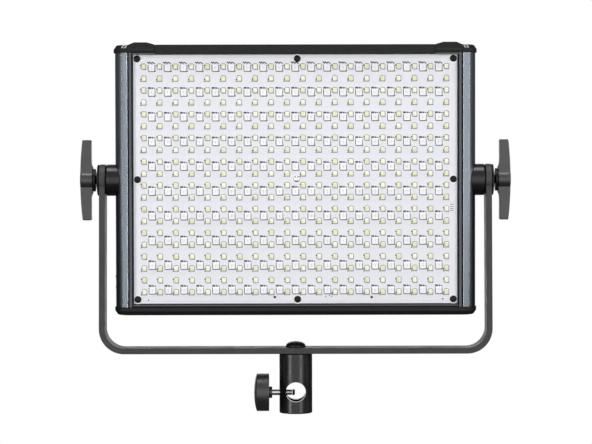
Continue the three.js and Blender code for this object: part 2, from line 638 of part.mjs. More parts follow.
/** Housing for the controls: a chamfered shell, open towards the rear cover. */
function controlHousing() {
  const { halfX, bottom, top, face, wall, chamfer, corner } = CONTROL;
  const outside = facedBlock(halfX, bottom, top, corner, REAR_START, face, chamfer);
  const inside = facedBlock(halfX - wall, bottom + wall, top - wall, corner - wall, REAR_START - 1, face - wall, chamfer);
  const { halfX: glassX, bottom: glassBottom, top: glassTop, thickness, border } = DISPLAY;
  const rebate = box(
    [-glassX - GAP, glassX + GAP],
    [face - thickness - GAP, face + 1],
    [glassBottom - GAP, glassTop + GAP],
  );
  const view = box([border - glassX, glassX - border], [face - wall - 1, face], [glassBottom + border, glassTop - border]);
  const shafts = dialPlaces.map(({ x }) => rod('y', DIAL.hole, face - wall - 1, face + 1).translate(x, 0, DIAL.z));
  const wells = buttonPlaces.map(({ x, z }) => box(
    [x - BUTTON.halfX - GAP, x + BUTTON.halfX + GAP],
    [face - wall - 1, face + 1],
    [z - BUTTON.halfZ - GAP, z + BUTTON.halfZ + GAP],
  ));
  return cut(outside, inside, rebate, view, ...shafts, ...wells);
}

function displayWindow() {
  const { halfX, bottom, top, thickness } = DISPLAY;
  return facedBlock(halfX, bottom, top, 1.5, CONTROL.face - thickness, CONTROL.face, 0.3);
}

/** Dial with a chamfered rim on a shaft that reaches its encoder. */
function dial(x) {
  const { radius, height, shaft, shaftEnd, z } = DIAL;
  const start = CONTROL.face + GAP;
  const end = start + height;
  return turned('y', [
    [0, shaftEnd], [shaft, shaftEnd], [shaft, start], [radius, start], [radius, end - 1.4],
    [radius - 1.4, end], [0, end],
  ], 24).translate(x, 0, z);
}

/** Push button held in the housing by a flange round its foot. */
function pushButton(x, z) {
  const { halfX, halfZ, proud, flange } = BUTTON;
  const under = CONTROL.face - CONTROL.wall - GAP;
  const cap = facedBlock(halfX, -halfZ, halfZ, 1.2, under - 1, CONTROL.face + proud, 0.5);
  const foot = box([-halfX - flange, halfX + flange], [under - 1.5, under], [-halfZ - flange, halfZ + flange]);
  return join(cap, foot).translate(x, 0, z);
}

/** Wedge-shaped recess of the battery plate, open at the top, widened by a margin. */
function wedgeOutline(margin) {
  const { topHalf, bottomHalf, bottomZ } = WEDGE;
  const top = BATTERY.top + 1;
  return [
    [-topHalf - margin, top], [-bottomHalf - margin, bottomZ - margin],
    [bottomHalf + margin, bottomZ - margin], [topHalf + margin, top],
  ];
}

/** Battery plate with an undercut wedge recess, hollow behind, with a slot for the release. */
function batteryPlate() {
  const { halfX, bottom, top, face, wall, corner, floor, pocket } = BATTERY;
  const block = facedBlock(halfX, bottom, top, corner, REAR_START, face, 1.5);
  const hollow = box([wall - halfX, halfX - wall], [REAR_START - 1, pocket], [bottom + wall, top - wall]);
  const mouth = prism('y', wedgeOutline(0), WEDGE.lip - 0.1, face + 1);
  const undercut = prism('y', wedgeOutline(WEDGE.undercut), floor, WEDGE.lip);
  const lockHole = rod('y', LOCK.hole, pocket - 1, floor + 1).translate(0, 0, LOCK.z);
  const releaseSlot = box(
    [halfX - wall - 1, halfX + 1],
    [RELEASE.y - RELEASE.halfY - GAP, RELEASE.y + RELEASE.halfY + GAP],
    [RELEASE.z - RELEASE.halfZ - GAP, RELEASE.z + RELEASE.halfZ + GAP],
  );
  return cut(block, hollow, mouth, undercut, lockHole, releaseSlot);
}

/** Contact block in the recess, with two blades that enter the battery. */
function batteryContacts() {
  const { halfX, bottom, top, face, bladeX, bladeEnd } = CONTACT;
  const block = box([-halfX, halfX], [BATTERY.floor + GAP, face], [bottom, top]);
  const blades = [-bladeX, bladeX].map((x) =>
    box([x - 0.6, x + 0.6], [BATTERY.floor + 2, face - 1], [top - 0.5, bladeEnd]));
  return join(block, ...blades);
}

/** Pin with a slanted tip that holds the battery's wedge down. */
function lockPin() {
  const { radius, tip, root, z } = LOCK;
  const pin = rod('y', radius, root, tip, 16);
  const slope = prism('x', [[tip + 1, -4], [tip + 1, 4], [tip - 2.4, 4]], -radius - 1, radius + 1);
  return cut(pin, slope).translate(0, 0, z);
}

/** Release button at the side of the battery plate, kept in by its flange. */
function batteryRelease() {
  const { y, z, halfY, halfZ, outer, flange, root } = RELEASE;
  const inside = BATTERY.halfX - BATTERY.wall - GAP;
  const cap = box([inside - 1, outer], [y - halfY, y + halfY], [z - halfZ, z + halfZ]);
  const foot = box([root, inside], [y - halfY - flange, y + halfY + flange], [z - halfZ - flange, z + halfZ + flange]);
  return join(cap, foot);
}

// ---------------------------------------------------------------- assembly

const panelLight = new THREE.Group();
const head = new THREE.Group();
head.position.z = PIVOT_Z;
panelLight.add(head);

panelLight.add(
  part('yoke_bracket', yokeBracket(), powderCoat),
  part('receiver_barrel', receiverBarrel(), satinBlack),
  part('receiver_bolt', receiverBolt(), blackSteel),
  part('socket_clamp_pad', clampPad(), brass),
  part('socket_clamp_screw', clampScrew(), steel),
  part('socket_clamp_knob', clampKnob(), knobPlastic),
);

for (const side of SIDES) {
  head.add(
    sidePart(side, 'ear_washer', earWasher(), blackSteel),
    sidePart(side, 'thrust_washer', thrustWasher(), blackSteel),
    sidePart(side, 'clamp_stud', clampStud(), blackSteel),
    sidePart(side, 't_handle', tHandle(), knobPlastic),
    sidePart(side, 'pivot_hub', pivotHub(), satinBlack),
    sidePart(side, 'hub_nut', hubNut(), steel),
    part(`${side.name}_slot_latch`, slotLatch(side.sign), capPlastic),
    part(`${side.name}_latch_pin`, latchPin(side.sign), steel),
  );
}

head.add(
  part('left_profile', leftProfile(), anodised),
  part('right_profile', sideProfile(1), anodised),
  part('side_port_plate', sidePortPlate(), blackSteel),
  part('top_cap', topCap(), capPlastic),
  part('bottom_cap', bottomCap(), capPlastic),
  part('top_rail', rail(BOARD.top + GAP, BODY.halfHeight, false), darkAnodised),
  part('bottom_rail', rail(-BODY.halfHeight, BOARD.bottom - GAP, true), darkAnodised),
  part('led_board', holedPlate(BOARD.halfX, BOARD.front, BOARD.thickness), boardWhite),
  part('base_plate', holedPlate(PLATE.halfX, PLATE.front, PLATE.thickness), bareAluminium),
  part('heat_sink', heatSink(), bareAluminium),
  ...boardScrews(),
  part('driver_board', driverBoard(), circuitGreen),
  part('control_board', controlBoard(), circuitGreen),
  part('rear_cover', rearCover(), capPlastic),
  part('power_rocker', powerRocker(), knobPlastic),
  part('power_inlet', powerInlet(), blackSteel),
  part('data_port', dataPort(), capPlastic),
  part('control_housing', controlHousing(), capPlastic),
  part('display_window', displayWindow(), displayGlass),
  ...dialPlaces.map(({ name, x }) => part(name, dial(x), knobPlastic)),
  ...buttonPlaces.map(({ name, x, z }) => part(name, pushButton(x, z), knobPlastic)),
  part('battery_plate', batteryPlate(), capPlastic),
  part('battery_contacts', batteryContacts(), brass),
  part('battery_lock_pin', lockPin(), steel),
  part('battery_release', batteryRelease(), knobPlastic),
);

export default panelLight;
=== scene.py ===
"""LED panel light on a yoke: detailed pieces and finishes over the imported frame.

Lengths are millimetres unless a name says otherwise, in the frame's axes: +Z up, the light
shines along -Y. Heights of pieces on the head are measured from the tilt axis.
"""

import json
import math

import bmesh
import bpy
from mathutils import Matrix, Quaternion, Vector

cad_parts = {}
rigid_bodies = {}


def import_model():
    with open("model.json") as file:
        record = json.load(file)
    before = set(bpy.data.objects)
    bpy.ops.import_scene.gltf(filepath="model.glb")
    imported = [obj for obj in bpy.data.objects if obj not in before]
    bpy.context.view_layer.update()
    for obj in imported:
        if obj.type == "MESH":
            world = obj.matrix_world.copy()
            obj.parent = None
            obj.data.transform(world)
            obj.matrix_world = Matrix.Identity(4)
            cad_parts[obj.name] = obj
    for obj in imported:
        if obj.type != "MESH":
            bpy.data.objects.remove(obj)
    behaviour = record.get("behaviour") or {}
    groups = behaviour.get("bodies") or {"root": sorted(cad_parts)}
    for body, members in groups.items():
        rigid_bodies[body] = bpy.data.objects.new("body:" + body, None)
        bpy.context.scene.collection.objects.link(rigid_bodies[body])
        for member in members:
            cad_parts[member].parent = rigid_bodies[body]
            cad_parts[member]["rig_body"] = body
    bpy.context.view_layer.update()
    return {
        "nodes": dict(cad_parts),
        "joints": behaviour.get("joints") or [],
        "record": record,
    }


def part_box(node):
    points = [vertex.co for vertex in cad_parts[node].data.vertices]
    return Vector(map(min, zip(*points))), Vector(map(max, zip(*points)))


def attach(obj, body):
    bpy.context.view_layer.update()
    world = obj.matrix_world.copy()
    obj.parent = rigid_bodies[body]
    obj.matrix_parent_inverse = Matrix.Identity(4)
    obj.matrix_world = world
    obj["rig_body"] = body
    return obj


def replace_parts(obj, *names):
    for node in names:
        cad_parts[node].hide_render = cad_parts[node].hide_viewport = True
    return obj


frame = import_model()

MM = 0.001
SIDES = {"left": -1, "right": 1}

SLOT_OF = {row["node"]: row["material_slot"] for row in frame["record"]["subparts"]}
BODY_OF = {name: node["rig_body"] for name, node in frame["nodes"].items()}
PIVOT = next(j for j in frame["joints"] if j["name"] == "head_tilt")["pos_m"][2] / MM


def span(node, axis):
    """Lowest and highest place of a CAD node along an axis, in millimetres."""
    low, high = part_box(node)
    return low["xyz".index(axis)] / MM, high["xyz".index(axis)] / MM


def middle_of(node):
    """Middle of a CAD node in x and z, in millimetres."""
    low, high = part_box(node)
    return (low.x + high.x) / 2 / MM, (low.z + high.z) / 2 / MM


# ---- driving dimensions

GAP = 0.3
STUD_BORE = 4.3
YOKE = {"half": 172.7, "thickness": 5.2, "width": 25, "bar_top": 58.1, "bend": 17, "ear": 13.9, "edge": 0.7}
# how far the ears and the bends sit out of line with the legs
YOKE_SPLAY = {"ear": -0.2, "bend": 0.5}
RECEIVER = {"radius": 14.6, "top": 52.6, "bore": 8.25, "depth": 40, "cross_hole": 8.8, "cross_z": 19.3}
CLAMP = {
    "z": 18, "screw": 2.7, "screw_hole": 3.3, "knob": 16.6, "outer": -36.9, "inner": -23.6,
    "collar": 5.1, "collar_end": -20.9, "screw_seat": -31.3,
}
BOLT = {"radius": 8.9, "seat": 58.4, "height": 4.7, "shank": 3.9, "end": 44.5, "hole": 4.2, "socket": 3.0}
HANDLE = {"tip": 35.4, "inner": 179.9, "outer_tip": 187.6, "outer_mid": 189.6, "half_y": 4.6, "hub": 7.8}
HUB = {"radius": 13.9, "outer": 167.2, "chamfer": 1.4}
BODY = {"centre": 135.7, "radius": 23, "half_depth": 18.6, "inner": 143.3, "half_height": 111.3}
SLOT = {"inner": 145.3, "outer": 146.7, "floor": -13.5, "undercut": 149.5, "lip": -15.3}
CAVITY = {"radius": 20.8, "inner": 146, "angle": 33}
LEDGE = {"reach": 134, "front": -9.3, "back": -7.3}
CAP = {
    "overhang": 1.2, "start": 111.6, "wall": 3.3, "height": 6.8, "chamfer": 2.5,
    "lip_half": 122, "lip_bottom": 110.4,
}
# share of its ends' inset by which the top cap leans in at front and back
TOP_CAP_LEAN = 0.2
LATCH = {
    "inner": 122.8, "outer": 146.4, "bottom": 114.2, "top": 120.5, "front": -20.2,
    "pin_y": -2.6, "pin_z": 116.7,
}
BOARD_SCREW = {"head": 3.0, "height": 1.9, "shank": 1.5, "length": 8.0}
PORT_SCREW = {"head": 1.15, "height": 0.7, "shank": 0.6, "length": 1.0}
COVER_SCREW = {"head": 2.3, "height": 1.1, "shank": 1.2, "length": 3}
PLATE_SCREW = {"head": 2.2, "height": 0.9, "shank": 1.2, "length": 3}
WHITE_LED = {"x": -132.64, "z": 99.4, "pitch_x": 13.95, "pitch_z": 10.4, "columns": 20, "rows": 20}
COLOUR_LED = {"x": -125.71, "z": 98.3, "pitch_x": 13.962, "pitch_z": 21.68, "columns": 19, "rows": 10}
DIAL = {"radius": 12, "shaft": 3, "start": 34.3, "teeth": 48, "knurl": 0.45}
ROCKER = {"x": 118, "axis_y": 17, "z": -60, "tilt": -9}
FLOOR = {"radius": 1500, "top": -260}
CAMERA = {"x": 0.44, "distance": 1999, "height": 231.5, "aim": 168.7, "lens": 137.7, "roll": 0.12}
# name: place, width and height, power
LIGHTS = {
    "overhead": ((0, -150, 1550), (1400, 520), 15),
    "key": ((0, -1500, 1500), (1500, 900), 2),
    "fill": ((0, -2700, 250), (3200, 2200), 28),
    "strip_left": ((-1250, -1440, 250), (250, 1900), 17),
    "strip_right": ((1150, -1500, 250), (250, 1900), 15),
    "edge_left": ((-1500, -100, 520), (300, 900), 2.5),
    "edge_right": ((1500, -100, 520), (300, 900), 5),
    "facet_right": ((1550, -1150, 420), (450, 900), 1.2),
    "rear": ((0, 2400, 900), (1700, 1500), 11),
    "rear_low": ((0, 2300, -50), (1700, 400), 4),
}

BOARD_FRONT = span("led_board", "y")[0]


# ---- shapes

def on_axis(axis, a, b, along):
    """A point from two places across an axis, in the order of x, y and z, and one along it."""
    return {"x": (along, a, b), "y": (a, along, b), "z": (a, b, along)}[axis]


def placed(name, data):
    """A new object in the scene that holds a mesh, a light or a camera."""
    obj = bpy.data.objects.new(name, data)
    bpy.context.scene.collection.objects.link(obj)
    return obj


def solid(points, faces):
    """A new object from points in millimetres, with its faces turned outwards."""
    mesh = bpy.data.meshes.new("solid")
    mesh.from_pydata([(x * MM, y * MM, z * MM) for x, y, z in points], [], faces)
    work = bmesh.new()
    work.from_mesh(mesh)
    bmesh.ops.recalc_face_normals(work, faces=work.faces)
    work.to_mesh(mesh)
    work.free()
    return placed("solid", mesh)


def loft(rings, closed=False):
    """A skin over rings of equal point count, capped at its ends or joined round."""
    count, levels = len(rings[0]), len(rings)
    faces = []
    for level in range(levels if closed else levels - 1):
        above = (level + 1) % levels
        for i in range(count):
            j = (i + 1) % count
            faces.append((level * count + i, level * count + j, above * count + j, above * count + i))
    if not closed:
        faces.append(tuple(range(count)))
        faces.append(tuple(range((levels - 1) * count, levels * count)))
    return solid([point for ring in rings for point in ring], faces)


def prism(axis, outline, low, high):
    """An outline drawn out along an axis."""
    return loft([[on_axis(axis, a, b, place) for a, b in outline] for place in (low, high)])


def direction(angle):
    """Unit direction at an angle in degrees."""
    return math.cos(math.radians(angle)), math.sin(math.radians(angle))


def arc(a, b, radius, start, end, steps):
    ways = [direction(start + (end - start) * i / steps) for i in range(steps + 1)]
    return [(a + radius * across, b + radius * up) for across, up in ways]


def circle(a, b, radius, sides=48):
    return arc(a, b, radius, 0, 360, sides)[:-1]


def turned(axis, profile, centre=(0, 0), sides=72, hollow=False):
    """A turned piece from (radius, place) points along an axis through a centre."""
    rings = []
    for radius, place in profile:
        rings.append([on_axis(axis, a, b, place) for a, b in circle(*centre, radius, sides)])
    return loft(rings, closed=hollow)


def rod(axis, radius, low, high, centre=(0, 0), sides=32):
    return turned(axis, [(radius, low), (radius, high)], centre, sides)


def rounded(points, radius, steps=4, closed=True):
    """The outline with its corners eased; radius is one number, or one for each corner."""
    radii = radius if isinstance(radius, (list, tuple)) else [radius] * len(points)
    result = []
    for i, (corner, size) in enumerate(zip(points, radii)):
        if size == 0 or not (closed or 0 < i < len(points) - 1):
            result.append(corner)
            continue
        here = Vector(corner)
        before = Vector(points[i - 1]) - here
        after = Vector(points[(i + 1) % len(points)]) - here
        reach = size / math.tan(before.angle(after) / 2)
        start = here + before.normalized() * min(reach, before.length * 0.49)
        end = here + after.normalized() * min(reach, after.length * 0.49)
        for step in range(steps + 1):
            t = step / steps
            result.append(tuple(start.lerp(here, t).lerp(here.lerp(end, t), t)))
    return result


def rectangle(a, b, corner=0.0, steps=4):
    """A rectangle between two places on each axis, with rounded corners if asked."""
    points = [(a[0], b[0]), (a[1], b[0]), (a[1], b[1]), (a[0], b[1])]
    return rounded(points, corner, steps) if corner else points


def block(x, y, z):
    return prism("z", rectangle(x, y), *z)


def mirrored(outline, sign):
    return [(a * sign, b) for a, b in outline]


def settle(obj):
    """Replace an object's mesh by what its modifiers make of it."""
    graph = bpy.context.evaluated_depsgraph_get()
    mesh = bpy.data.meshes.new_from_object(obj.evaluated_get(graph))
    obj.modifiers.clear()
    obj.data = mesh
    return obj


def combine(operation, body, tools):
    for tool in tools:
        modifier = body.modifiers.new(operation, "BOOLEAN")
        modifier.operation = operation
        modifier.solver = "MANIFOLD"
        modifier.object = tool
    settle(body)
    for tool in tools:
        bpy.data.objects.remove(tool)
    return body


def cut(body, *tools):
    return combine("DIFFERENCE", body, tools)


def join(body, *tools):
    return combine("UNION", body, tools)


def soften(obj, width, segments=3, angle=30):
    """Round the edges that are sharper than an angle."""
    modifier = obj.modifiers.new("soft edges", "BEVEL")
    modifier.width = width * MM
    modifier.segments = segments
    modifier.limit_method = "ANGLE"
    modifier.angle_limit = math.radians(angle)
    modifier.harden_normals = True
    return obj


def threaded(axis, radius, pitch, low, high, centre=(0, 0), sides=24):
    """A rod with a right-hand thread cut into it."""
    depth = 0.6 * pitch
    steps = int((high - low) / pitch * 8)
    rings = []
    for step in range(steps + 1):
        place = low + (high - low) * step / steps
        ring = []
        for side in range(sides):
            phase = (place / pitch - side / sides) % 1
            reach = radius - depth * abs(2 * phase - 1)
            angle = 2 * math.pi * side / sides
            point = centre[0] + reach * math.cos(angle), centre[1] + reach * math.sin(angle)
            ring.append(on_axis(axis, *point, place))
        rings.append(ring)
    return loft(rings)


def cad_copy(node):
    """A copy of a CAD node's mesh in which each flat face is whole."""
    mesh = frame["nodes"][node].data.copy()
    work = bmesh.new()
    work.from_mesh(mesh)
    bmesh.ops.remove_doubles(work, verts=work.verts, dist=1e-6)
    bmesh.ops.dissolve_limit(work, angle_limit=math.radians(0.5), verts=work.verts, edges=work.edges)
    work.to_mesh(mesh)
    work.free()
    return placed("solid", mesh)


def moved(obj, x=0.0, y=0.0, z=0.0):
    obj.data.transform(Matrix.Translation(Vector((x, y, z)) * MM))
    return obj


def merged(models, places=((0, 0, 0),)):
    """One object from copies of the models at each place; the models are used up."""
    points, faces = [], []
    for model in models:
        own_points = [vertex.co / MM for vertex in model.data.vertices]
        own_faces = [tuple(face.vertices) for face in model.data.polygons]
        for place in places:
            start = len(points)
            points.extend(tuple(point + Vector(place)) for point in own_points)
            faces.extend(tuple(start + i for i in face) for face in own_faces)
        bpy.data.objects.remove(model)
    return solid(points, faces)


# ---- finishes

def add_node(tree, kind, links=(), **settings):
    """A shader node with its settings, and links given as (its input, another node's output)."""
    node = tree.nodes.new(kind)
    for name, value in settings.items():
        if name in node.inputs:
            node.inputs[name].default_value = value
        else:
            setattr(node, name, value)
    for name, output in links:
        tree.links.new(output, node.inputs[name])
    return node


def shader(name, roughness, metallic=0.0, **settings):
    """A material and its Principled shader, with plain values set on the shader's own sockets."""
    material = bpy.data.materials.new(name)
    material.use_nodes = True
    principled = material.node_tree.nodes["Principled BSDF"]
    principled.inputs["Roughness"].default_value = roughness
    principled.inputs["Metallic"].default_value = metallic
    for socket, value in settings.items():
        principled.inputs[socket.replace("_", " ")].default_value = value
    return material, principled


def object_noise(tree, size, stretch=(1, 1, 1), detail=3.0):
    """Noise whose features are about a size across, in millimetres, drawn out along an axis."""
    place = add_node(tree, "ShaderNodeTexCoord")
    scale = [1 / (size * MM * along) for along in stretch]
    mapping = add_node(tree, "ShaderNodeMapping", [("Vector", place.outputs["Object"])], Scale=scale)
    links = [("Vector", mapping.outputs["Vector"])]
    return add_node(tree, "ShaderNodeTexNoise", links, Scale=1.0, Detail=detail)


def vary_colour(tree, principled, colour, drift, size, stretch=(1, 1, 1)):
    """Colour that drifts lighter and darker by a share over a size."""
    noise = object_noise(tree, size, stretch)
    ramp = add_node(tree, "ShaderNodeValToRGB", [("Fac", noise.outputs["Fac"])])
    for element, position, share in zip(ramp.color_ramp.elements, (0.3, 0.7), (1 - drift, 1 + drift)):
        element.position = position
        element.color = [min(1.0, part * share) for part in colour] + [1.0]
    tree.links.new(ramp.outputs["Color"], principled.inputs["Base Color"])
    return ramp


def vary_roughness(tree, principled, low, high, size, stretch=(1, 1, 1)):
    noise = object_noise(tree, size, stretch)
    limits = add_node(tree, "ShaderNodeMapRange", [("Value", noise.outputs["Fac"])])
    for socket, value in {"From Min": 0.3, "From Max": 0.7, "To Min": low, "To Max": high}.items():
        limits.inputs[socket].default_value = value
    tree.links.new(limits.outputs["Result"], principled.inputs["Roughness"])


def grain(tree, principled, size, height, strength=0.5, stretch=(1, 1, 1)):
    """Fine relief of a size and height, in millimetres."""
    noise = object_noise(tree, size, stretch, detail=2.0)
    links = [("Height", noise.outputs["Fac"])]
    bump = add_node(tree, "ShaderNodeBump", links, Strength=strength, Distance=height * MM)
    tree.links.new(bump.outputs["Normal"], principled.inputs["Normal"])


def coated(name, colour, roughness, grain_size, grain_height, drift=0.12, gloss=0.5):
    """Paint, powder coat, black oxide or moulded plastic: an even colour with a fine grain."""
    material, principled = shader(name, roughness, Specular_IOR_Level=gloss)
    tree = material.node_tree
    vary_colour(tree, principled, colour, drift, 9)
    vary_roughness(tree, principled, roughness - 0.05, roughness + 0.07, 14)
    grain(tree, principled, grain_size, grain_height)
    return material


def brushed(name, colour, roughness, along):
    """Bare or anodised metal with fine lines along one axis."""
    material, principled = shader(name, roughness, 1.0)
    tree = material.node_tree
    stretch = [60 if axis == along else 1 for axis in "xyz"]
    vary_colour(tree, principled, colour, 0.06, 0.5, stretch)
    vary_roughness(tree, principled, roughness - 0.015, roughness + 0.02, 2.0, stretch)
    grain(tree, principled, 0.25, 0.004, 0.15, stretch)
    return material


def solder_mask(name, colour, line_colour):
    """Circuit board lacquer over copper: faint raised areas with lines between them."""
    material, principled = shader(name, 0.42, Coat_Weight=0.15)
    tree = material.node_tree
    place = add_node(tree, "ShaderNodeTexCoord")
    turn = add_node(tree, "ShaderNodeMapping", [("Vector", place.outputs["Object"])])
    turn.inputs["Rotation"].default_value = (math.radians(-90), 0, 0)
    areas = add_node(tree, "ShaderNodeTexBrick", [("Vector", turn.outputs["Vector"])], offset=0.5)
    values = {
        "Scale": 1.0, "Mortar Size": 0.00022, "Mortar Smooth": 0.6, "Brick Width": 0.014, "Row Height": 0.0104,
        "Color1": [*colour, 1.0], "Color2": [*(part * 0.985 for part in colour), 1.0],
        "Mortar": [*line_colour, 1.0],
    }
    for socket, value in values.items():
        areas.inputs[socket].default_value = value
    tree.links.new(areas.outputs["Color"], principled.inputs["Base Color"])
    grain(tree, principled, 1.2, 0.02, 0.25)
    return material


def phosphor(name, colour):
    """Yellow phosphor in clear resin, darker towards its grains."""
    material, principled = shader(name, 0.3, Coat_Weight=0.6, Coat_Roughness=0.12)
    tree = material.node_tree
    vary_colour(tree, principled, colour, 0.08, 1.1)
    grain(tree, principled, 0.3, 0.01, 0.3)
    return material


def glowing(name, colour, strength):
    """A lit sign on the display, a little uneven as a backlight is."""
    material, principled = shader(name, 0.4)
    tree = material.node_tree
    ramp = vary_colour(tree, principled, colour, 0.06, 6)
    tree.links.new(ramp.outputs["Color"], principled.inputs["Emission Color"])
    principled.inputs["Emission Strength"].default_value = strength
    return material


def glass(name, colour):
    """Dark polished window with a trace of wear in its gloss."""
    material, principled = shader(name, 0.06, IOR=1.5, Coat_Weight=0.3, Coat_Roughness=0.03)
    tree = material.node_tree
    vary_colour(tree, principled, colour, 0.1, 30)
    vary_roughness(tree, principled, 0.04, 0.1, 12)
    return material


FINISH = {
    "powder_coat": coated("powder_coat", (0.038, 0.039, 0.041), 0.5, 0.45, 0.05, gloss=0.35),
    "satin_black": coated("satin_black", (0.004, 0.004, 0.0045), 0.3, 0.3, 0.015, drift=0.18),
    "anodised": brushed("anodised", (0.29, 0.325, 0.365), 0.27, "z"),
    "dark_anodised": brushed("dark_anodised", (0.03, 0.033, 0.038), 0.4, "x"),
    "bare_aluminium": brushed("bare_aluminium", (0.62, 0.63, 0.64), 0.4, "z"),
    "steel": brushed("steel", (0.68, 0.68, 0.69), 0.24, "x"),
    "black_steel": coated("black_steel", (0.005, 0.005, 0.006), 0.4, 0.4, 0.01, gloss=0.25),
    "cap_plastic": coated("cap_plastic", (0.01, 0.0095, 0.0095), 0.5, 0.5, 0.02, gloss=0.22),
    "knob_plastic": coated("knob_plastic", (0.013, 0.013, 0.0135), 0.38, 0.5, 0.015, gloss=0.85),
    "board_white": solder_mask("board_white", (0.79, 0.8, 0.835), (0.73, 0.74, 0.78)),
    "circuit_board": solder_mask("circuit_board", (0.02, 0.12, 0.05), (0.03, 0.18, 0.08)),
    "display_glass": glass("display_glass", (0.006, 0.008, 0.011)),
    "brass": brushed("brass", (0.62, 0.45, 0.19), 0.3, "x"),
    "led_warm": phosphor("led_warm", (0.84, 0.79, 0.47)),
    "led_cool": phosphor("led_cool", (0.88, 0.91, 0.7)),
    "led_body": coated("led_body", (0.9, 0.9, 0.9), 0.35, 0.6, 0.01, drift=0.03),
    "board_print": coated("board_print", (0.06, 0.06, 0.07), 0.6, 0.3, 0.01),
}
PALE_PRINT = coated("pale_print", (0.55, 0.55, 0.55), 0.6, 0.3, 0.01)
# dark olive of the solder pads, darkened to paint the shadow round the white diodes; the colour diodes' chips use
# it too
SOLDER_SHADE_AND_CHIPS = coated("solder", (0.25, 0.25, 0.2), 0.5, 0.5, 0.02)
LED_RESIN = coated("led_resin", (0.87, 0.88, 0.87), 0.2, 0.8, 0.01, drift=0.05)
# darker copy of the anodised finish, laid on the profiles' lips: painted shade
PROFILE_LIP_SHADE = brushed("profile_lip_shade", (0.1, 0.108, 0.12), 0.5, "z")
# lighter copy of the dark anodised finish for the rails' lip ends and bead: painted light
RAIL_EDGE_LIT = brushed("rail_edge", (0.1, 0.11, 0.12), 0.36, "x")
PLATE_GREY = coated("plate_grey", (0.42, 0.42, 0.42), 0.5, 0.4, 0.02, drift=0.2)
SIGN_WHITE = glowing("sign_white", (0.8, 0.88, 0.95), 1.2)
SIGN_BLUE = glowing("sign_blue", (0.1, 0.45, 0.8), 1.4)


# ---- pieces

def piece(obj, name, body, slot, material=None, smooth=32, bevel=0.0, segments=2):
    """Give an object its name, finish, shading and the body that it rides on."""
    obj.name = name
    obj.data.name = name
    obj.data.materials.clear()
    obj.data.materials.append(material or FINISH[slot])
    obj.data.shade_smooth()
    obj.data.set_sharp_from_angle(angle=math.radians(smooth))
    if bevel:
        soften(obj, bevel, segments)
    shading = obj.modifiers.new("flat faces stay flat", "WEIGHTED_NORMAL")
    shading.keep_sharp = True
    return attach(obj, body)


def stand_for(node, obj, bevel=0.0, smooth=32, lift=PIVOT, segments=3, material=None):
    """Show an object in place of a CAD node. lift carries heights on the head to the frame's."""
    moved(obj, z=lift)
    piece(obj, f"{node}_look", BODY_OF[node], SLOT_OF[node], material, smooth, bevel, segments)
    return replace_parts(obj, node)


def on_head(obj, name, slot, material=None, bevel=0.0):
    """A small extra piece on the head, drawn with its heights measured from the tilt axis."""
    return piece(moved(obj, z=PIVOT), name, "head", slot, material, bevel=bevel)


def spread(models, places, name, slot="board_print", material=None, smooth=32):
    """Copies of small models at each place, as one piece on the head."""
    piece(merged(models, places), name, "head", slot, material, smooth)


# ---- yoke and stand receiver

def yoke_stations():
    """Middle, outward direction and half width of the strip, from its centre up the right leg."""
    middle = YOKE["half"] - YOKE["thickness"] / 2
    reach = YOKE["bend"] + YOKE["thickness"] / 2
    bend_x = middle - reach + YOKE_SPLAY["bend"]
    bend_z = YOKE["bar_top"] + YOKE["bend"]
    half_width = YOKE["width"] / 2
    stations = [(0, bend_z - reach, 0, -1, half_width)]
    for angle in range(-90, 1, 5):
        across, up = direction(angle)
        stations.append((bend_x + reach * across, bend_z + reach * up, across, up, half_width))
    start = -math.degrees(math.acos(half_width / YOKE["ear"]))
    for step in range(33):
        across, up = direction(start + (87 - start) * step / 32)
        stations.append((middle + YOKE_SPLAY["ear"], PIVOT + YOKE["ear"] * up, 1, 0, YOKE["ear"] * across))
    return stations


def yoke_section(x, z, across, up, half_width):
    """The strip's section at a station, with eased edges."""
    half = YOKE["thickness"] / 2
    corner = min(YOKE["edge"], half_width * 0.6)
    outline = rectangle((-half, half), (-half_width, half_width), corner, 3)
    return [(x + out * across, y, z + out * up) for out, y in outline]


def yoke_bracket():
    """The bent strip from ear to ear, with its pivot holes and the hole for the bolt."""
    right = yoke_stations()
    left = [(-x, z, -across, up, half) for x, z, across, up, half in reversed(right[1:])]
    strip = loft([yoke_section(*station) for station in left + right])
    reach = YOKE["half"] + 1
    pivot_hole = rod("x", STUD_BORE, -reach, reach, (0, PIVOT))
    bolt_hole = rod("z", BOLT["hole"], 50, 60)
    stand_for("yoke_bracket", cut(strip, pivot_hole, bolt_hole), lift=0, smooth=25)


def receiver_barrel():
    """Turned barrel with its bore from below and its cross hole from front to back."""
    radius, top, bore, depth = RECEIVER["radius"], RECEIVER["top"], RECEIVER["bore"], RECEIVER["depth"]
    profile = [
        (0.05, depth), (bore, depth), (bore, 1), (bore + 1, 0),
        (radius - 0.05, 0), (radius, top), (0.05, top),
    ]
    barrel = turned("z", rounded(profile, [0, 0, 0.4, 0.3, 1.1, 0.9, 0], 5, closed=False), sides=128)
    window = rod("y", RECEIVER["cross_hole"], -20, 20, (0, RECEIVER["cross_z"]), 72)
    screw_hole = rod("x", CLAMP["screw_hole"], -20, -5, (0, CLAMP["z"]))
    bolt_hole = rod("z", BOLT["hole"], 44, 60)
    stand_for("receiver_barrel", cut(barrel, window, screw_hole, bolt_hole), 0.3, 25, lift=0, segments=2)


def receiver_bolt():
    """Dome-headed bolt with a hexagon socket."""
    radius, seat, height = BOLT["radius"], BOLT["seat"], BOLT["height"]
    profile = [(BOLT["shank"], BOLT["end"]), (BOLT["shank"], seat), (radius, seat)]
    for angle in range(6, 80, 6):
        across, up = direction(angle)
        profile.append((radius * across ** 0.7, seat + height * up))
    bolt = turned("z", profile)
    socket = rod("z", BOLT["socket"], seat + height * 0.4, 70, sides=6)
    stand_for("receiver_bolt", cut(bolt, socket), 0.2, lift=0)


